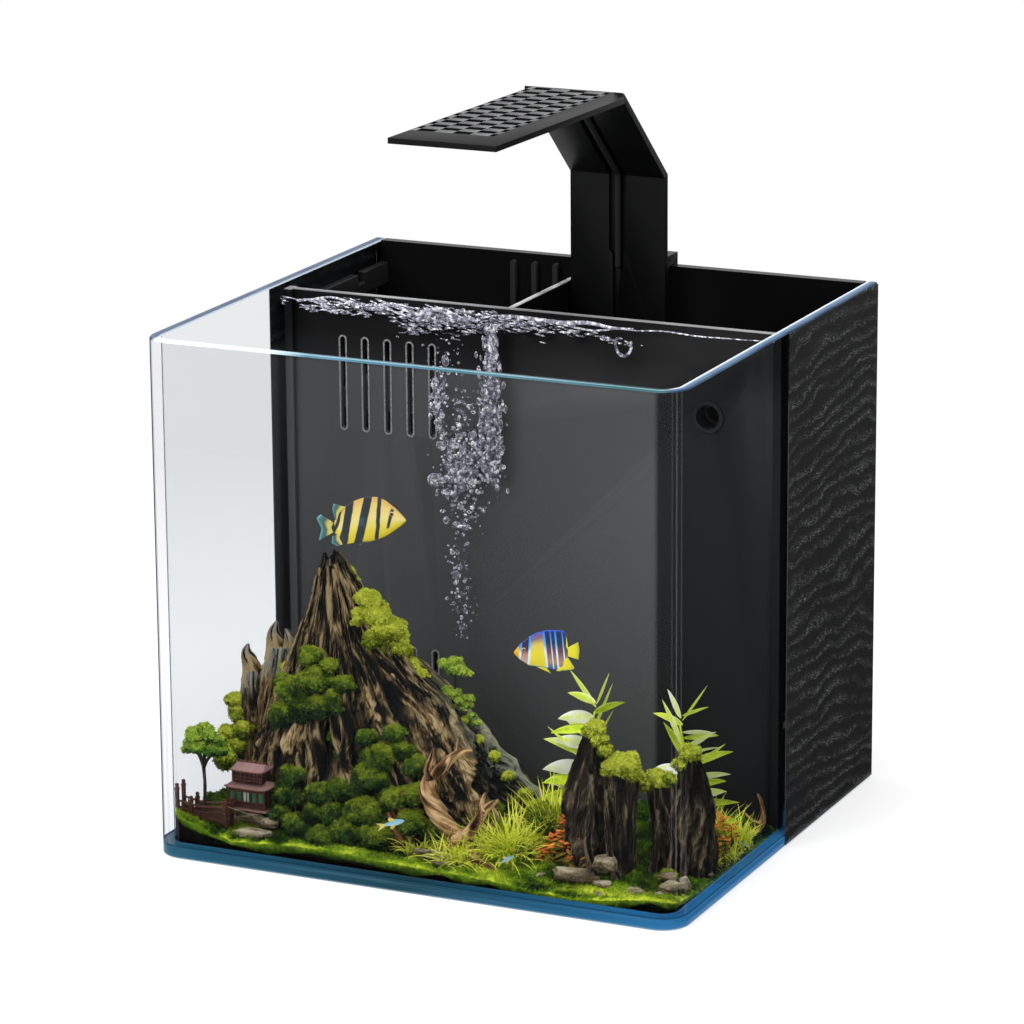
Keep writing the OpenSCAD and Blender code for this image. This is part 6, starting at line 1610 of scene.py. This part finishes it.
def tigerPaint(p, along, high, down, fin):
    # the pale cream band along the middle of the flank is a painted highlight
    base = p.ramp(down, [(0.0, 0.62, 0.36, 0.08), (0.18, 0.86, 0.62, 0.18), (0.45, 0.93, 0.78, 0.28),
            (0.75, 0.88, 0.72, 0.04), (1.0, 0.8, 0.62, 0.01)])
    bend = along + (p.noise(260, 2) - 0.5) * 0.03
    stripes = [stripe(bend - down * slant, centre, width) for slant, centre, width in (
        (0.14, 0.5, 0.105), (0.1, 0.745, 0.1), (0.05, 0.345, 0.042), (0.1, 0.885, 0.045))]
    stripes.append(stripe(bend - down * 0.1, 0.165, 0.03) * stripe(down, 0.44, 0.62, 0.06))
    tone = p.mix(most(stripes + [stripe(bend, 0.985, 0.05)]).clamp(), base, (0.01, 0.018, 0.022))
    patch = stripe(along, 0.585, 0.05, 0.02) * stripe(down, 0.52, 0.14, 0.05)
    tone = p.mix(patch * 0.5, tone, (0.04, 0.13, 0.2))
    web = p.ramp(along, [(0.0, 0.85, 0.72, 0.12), (0.28, 0.75, 0.65, 0.16), (0.55, 0.05, 0.1, 0.07),
            (0.85, 0.06, 0.25, 0.26), (1.0, 0.2, 0.45, 0.5)])
    return p.mix(fin, tone, p.mix((high * 42).maths("SINE").above(0.3, 0.5) * 0.35, web, (0.02, 0.05, 0.05)))


def angelPaint(p, along, high, down, fin):
    front = p.ramp(down, [(0.0, 0.1, 0.09, 0.3), (0.16, 0.22, 0.14, 0.2), (0.34, 0.85, 0.6, 0.1),
            (0.6, 0.93, 0.78, 0.02), (1.0, 0.85, 0.68, 0.01)])
    rear = p.ramp(down, [(0.0, 0.004, 0.01, 0.13), (0.3, 0.012, 0.006, 0.07), (0.55, 0.16, 0.06, 0.08),
            (0.8, 0.5, 0.28, 0.16), (0.95, 0.06, 0.13, 0.22)])
    mask = p.ramp(down, [(0.1, 0.006, 0.003, 0.05), (0.42, 0.1, 0.012, 0.02), (0.62, 0.55, 0.28, 0.22),
            (1.0, 0.7, 0.45, 0.35)])
    line = p.ramp(down, [(0.05, 0.01, 0.2, 0.75), (0.35, 0.1, 0.55, 0.9), (0.55, 0.9, 0.95, 1.0),
            (1.0, 0.7, 0.9, 1.0)])
    web = p.ramp(along, [(0.0, 0.92, 0.8, 0.01), (0.6, 0.9, 0.78, 0.01), (1.0, 0.55, 0.6, 0.04)])
    slant, face = along - down * 0.07, along + down * 0.03
    tone = p.mix(slant.above(0.535, 0.02), front, rear)
    tone = p.mix(face.above(0.14, 0.01) * (1 - face.above(0.285, 0.01)), tone, mask)
    tone = p.mix(1 - along.above(0.07, 0.03), tone, (0.9, 0.45, 0.01))
    edges = [stripe(face, 0.135, 0.022), stripe(face, 0.3, 0.03)]
    edges += [stripe(slant, centre, width) for centre, width in (
        (0.545, 0.028), (0.665, 0.008), (0.755, 0.022), (0.885, 0.01))]
    tone = p.mix(most(edges).clamp(), tone, line)
    tone = p.mix(high.size().above(0.93, 0.03) * along.above(0.3, 0.05), tone, (0.006, 0.08, 0.6))
    tone = p.mix(stripe(along, 0.985, 0.03) * high.above(0.2, 0.1), tone, (0.85, 0.75, 0.01))
    return p.mix(fin, tone, web)


def smallPaint(p, along, high, down, fin):
    body = p.ramp(high * 0.5 + 0.5, [(0.0, 0.7, 0.88, 0.95), (0.6, 0.3, 0.6, 0.75), (1.0, 0.16, 0.42, 0.6)])
    return p.mix(fin, body, (0.8, 0.7, 0.15))


for name, paint in (("tiger", tigerPaint), ("angel", angelPaint), ("small", smallPaint)):
    finish[name] = fishSkin(name, paint)
for name, values in shoal.items():
    makeFish(name, *values)
print("fish made")

clouds = [  # count, x, z, spread in x and z, smallest, largest, height for width, lean
    (170, -18.5, 247, 2.4, 13, 0.4, 1.5, 2.6), (330, -19.5, 214, 3.4, 13, 0.4, 1.7, 2.0),
    (120, -20, 194, 3.8, 6, 0.4, 1.8, 1.6), (110, -37, 220, 8, 11, 0.25, 1.2),
    (240, -35, 196, 6.5, 9, 0.4, 1.9, 1.2), (170, -36, 179, 6.5, 7, 0.4, 1.9, 1.1, 0.4),
    (70, -34, 163, 5.0, 3.5, 0.4, 1.5, 0.8, -0.5), (55, -50, 227, 1.8, 8, 0.4, 2.0, 1.6),
    (34, -46, 250, 7, 8, 0.2, 0.8), (66, -38, 133, 3.2, 11, 0.25, 1.15), (60, -36, 112, 4.0, 8, 0.25, 1.15),
    (26, -36.5, 98, 2.0, 4, 0.2, 0.8)]
largeBubbles = ((-51, 180, 4.4, 0.8), (-48, 199, 2.6, 0.9), (-36, 156, 4.8, 0.32), (-42, 141, 1.8, 0.8),
                (-40, 128, 2.2, 1.2), (-38, 133, 1.5, 1), (-19, 188, 2.4, 1.2))
slivers = [  # count, x, z, spread in x and z, longest for their height
    (46, -120, 270.5, 12, 1.2, 6.5), (40, -112, 266.8, 11, 0.8, 5.0), (60, -86, 271.0, 9, 1.6, 6.0),
    (60, -66, 264.5, 5, 3.0, 4.0), (170, -52, 267.0, 9, 3.4, 4.2),
    (150, -30, 268.0, 8, 3.2, 3.4), (100, -2, 268.4, 9, 2.3, 4.2), (34, 28, 268.0, 11, 1.4, 5.5),
    (16, 56, 264.5, 6, 1.0, 2.4)]
lips = [  # start, end, z, height of the waves and radius
    (-141, -60, 272.2, 1.5, 0.55), (-96, -30, 271.0, 1.8, 0.9), (-86, -10, 270.2, 2.2, 0.8),
    (-20, 62, 272.4, 0.6, 1.1), (-30, 62, 270.6, 1.4, 0.6), (40, 141, 272.0, 0.4, 0.35)]
drop = {"x": 57, "z": 263.5, "wide": 4.4, "tall": 6.0, "beads": 26}  # the ring of the hanging drop
bubbleSeed = itertools.count(1)


def waterFinish(name, least):
    # bright skins of air in water: painted lilac-grey reflections at the rims and painted white glints
    p = Paint(name)
    facing, speck = p.add("LayerWeight", {"Blend": 0.5}, "Facing"), p.noise(420, 3, 0.65)
    # painted highlight: noise specks paint white glints and lilac-grey reflections
    tone = p.ramp(speck, [(0.3, 0.06, 0.06, 0.1), (0.47, 0.36, 0.34, 0.46), (0.6, 0.97, 0.97, 1.0)])
    share = (facing ** 1.6 * 0.8 + speck.above(0.55, 0.06) * 0.6 + least).clamp()
    return p.finish(p.over(share, p.flat("BsdfTransparent", (0.97, 0.97, 0.99)), p.body(tone, 0.12, 0.8)))


def bubble(heap, x, y, z, size, stretch, level, lean, rough=0.12):
    seed = next(bubbleSeed)
    points, faces = ball[level]
    swell = 1 + rough * fractal(points * 1.6 + seed * 3.1, 2, seed)
    heap.put(turned(points * swell[:, None] * size * np.array(stretch), lean, 2) + (x, y, z), faces)


def cloud(heap, chance, count, x, z, dx, dz, small, large, tall=1.0, lean=0.0):
    for _ in range(count):
        size = small + (large - small) * chance.random() ** 2.2
        place = x + chance.gauss(0, dx), min(7.0 + chance.gauss(0, 1.2), 11.0), min(z + chance.gauss(0, dz), 266.0)
        bubble(heap, *place, size, (1, 1, tall * chance.uniform(0.8, 1.2)), 2 if size < 1.6 else 3,
               lean + chance.uniform(-0.3, 0.3))


def makeWater():
    chance = random.Random(31)
    heap = Heap()
    for values in clouds:
        cloud(heap, chance, *values)
    for x, z, size, tall in largeBubbles:
        bubble(heap, x, 6.5, z, size, (1, 0.7, tall), 3, -0.25 if tall < 0.5 else 0, 0.25)
    heap.piece("risingBubbles", "water", "clear_glass")
    # slivers of light along the surface, and the splash where the column meets it
    heap = Heap()
    for count, x, z, dx, dz, long in slivers:
        for _ in range(count):
            place = x + chance.gauss(0, dx), 8.5 + chance.uniform(-2.5, 2.5), min(z + chance.gauss(0, dz), 274)
            bubble(heap, *place, chance.uniform(0.4, 1.0), (chance.uniform(1.2, long), 0.9,
                    chance.uniform(0.25, 0.65)),
                   2, chance.uniform(-0.35, 0.25), 0.35)
    for k in range(drop["beads"]):
        angle = pi * (0.93 + 1.14 * k / (drop["beads"] - 1))
        x, z = drop["x"] + drop["wide"] * cos(angle), drop["z"] + drop["tall"] * sin(angle)
        bubble(heap, x, 9, z, 0.75, (1, 1, 1.3), 2, 0, 0.2)
    heap.piece("surfaceWater", "water", "clear_glass")
    # the surface line itself: a long wavy lip
    heap = Heap()
    for start, end, z, wave, radius in lips:
        path = [(start + (end - start) * k / 12, 9.5 + 0.8 * sin(k * 1.7),
                 min(z + wave * sin(k * 1.1 + start), 274.2),
                 radius * (0.35 + 0.65 * sin(pi * k / 12))) for k in range(13)]
        limb(heap, path, 12, 90, 3, 0.3, 1.0)
    heap.piece("waterLip", "waterLip", "clear_glass")


finish |= {"water": waterFinish("water", 0.1), "waterLip": waterFinish("waterLip", 0.4)}
makeWater()
print("water made")

for unit in (tuft, hair):
    bpy.data.objects.remove(unit)

# stage, lights and camera
view = {"place": (1.01364, -2.19888, 0.8281), "yaw": 24.826, "pitch": 15.224, "roll": -0.4096, "lens": 166.37}
lamps = {  # place, aim, size and power
    "keyLight": ((-1.3, -1.9, 2.0), (0, 0, 0.1), 1.2, 40),
    "fillLight": ((2.1, -1.3, 1.3), (0, 0, 0.2), 1.4, 16),
    "topLight": ((0.1, -0.1, 2.2), (0, 0, 0.1), 1.2, 44),
}
floor = {"half": 6.0, "lit": (0.42, 0.42, 0.42), "glow": 0.53}
card = {"left": 0.151, "right": 2.4, "front": -0.14, "back": 3.2, "height": 0.002}


def makeCamera():
    yaw, pitch, roll = (radians(view[key]) for key in ("yaw", "pitch", "roll"))
    forward = Vector((-sin(yaw) * cos(pitch), cos(yaw) * cos(pitch), -sin(pitch)))
    right = forward.cross(Vector((0, 0, 1))).normalized()
    up = right.cross(forward)
    side, top = right * cos(roll) + up * sin(roll), up * cos(roll) - right * sin(roll)
    data = bpy.data.cameras.new("camera")
    data.lens, data.sensor_width, data.clip_end = view["lens"], 36, 50
    camera = bpy.data.objects.new("camera", data)
    link(camera)
    camera.matrix_world = Matrix.Translation(view["place"]) @ Matrix((side, top, -forward)).transposed().to_4x4()
    bpy.context.scene.camera = camera


def makeLamps():
    for name, (place, aim, size, power) in lamps.items():
        data = bpy.data.lights.new(name, "AREA")
        data.shape, data.size, data.energy = "SQUARE", size, power
        lamp = bpy.data.objects.new(name, data)
        lamp.location = place
        lamp.rotation_euler = (Vector(aim) - Vector(place)).to_track_quat("-Z", "Y").to_euler()
        link(lamp)


def makeWorld():
    # white to the eye and in mirror images, softer where it lights
    world = bpy.data.worlds.new("studio")
    bpy.context.scene.world = world
    world.use_nodes = True
    tree = world.node_tree
    tree.nodes.clear()
    output, paths, mix = (tree.nodes.new("ShaderNode" + kind) for kind in ("OutputWorld", "LightPath", "MixShader"))
    for place, strength in ((1, 0.55), (2, 1.0)):
        light = tree.nodes.new("ShaderNodeBackground")
        light.inputs["Color"].default_value, light.inputs["Strength"].default_value = (1, 1, 1, 1), strength
        tree.links.new(light.outputs[0], mix.inputs[place])
    seen = paths.outputs["Is Camera Ray"]
    for kind in ("Is Glossy Ray", "Is Transmission Ray"):
        either = tree.nodes.new("ShaderNodeMath")
        either.operation = "MAXIMUM"
        tree.links.new(seen, either.inputs[0])
        tree.links.new(paths.outputs[kind], either.inputs[1])
        seen = either.outputs[0]
    tree.links.new(seen, mix.inputs[0])
    tree.links.new(mix.outputs[0], output.inputs["Surface"])


def makeSheet(name, left, right, front, back, height, material):
    corners = [(left, front, height), (right, front, height), (right, back, height), (left, back, height)]
    sheet = makePiece(name, corners, [(0, 1, 2, 3)], material, None, smooth=False)
    return sheet


def makeFloor():
    p = Paint("paleFloor")
    far = (p.axis("X") * p.axis("X") + p.axis("Y") * p.axis("Y")).above(0.16, 0.5)
    lit, glow = p.flat("BsdfDiffuse", floor["lit"]), p.flat("Emission", (1, 1, 1), Strength=floor["glow"])
    p.finish(p.over(far, p.add("AddShader", {0: lit, 1: glow}), p.flat("Emission", (1, 1, 1), Strength=1.0)))
    half = floor["half"]
    makeSheet("floor", -half, half, -half, half, 0, p.material)


def makeDarkCard():
    # a dark card lying behind and to the right, seen only in mirror images
    p = Paint("darkCard")
    p.finish(p.flat("BsdfDiffuse", (0.03, 0.03, 0.03)))
    sheet = makeSheet("darkCard", *card.values(), p.material)
    for kind in ("camera", "diffuse", "transmission", "volume_scatter", "shadow"):
        setattr(sheet, "visible_" + kind, False)


makeCamera()
makeLamps()
makeWorld()
makeFloor()
makeDarkCard()
bpy.context.scene.view_settings.view_transform = "Standard"

print("scene ready")
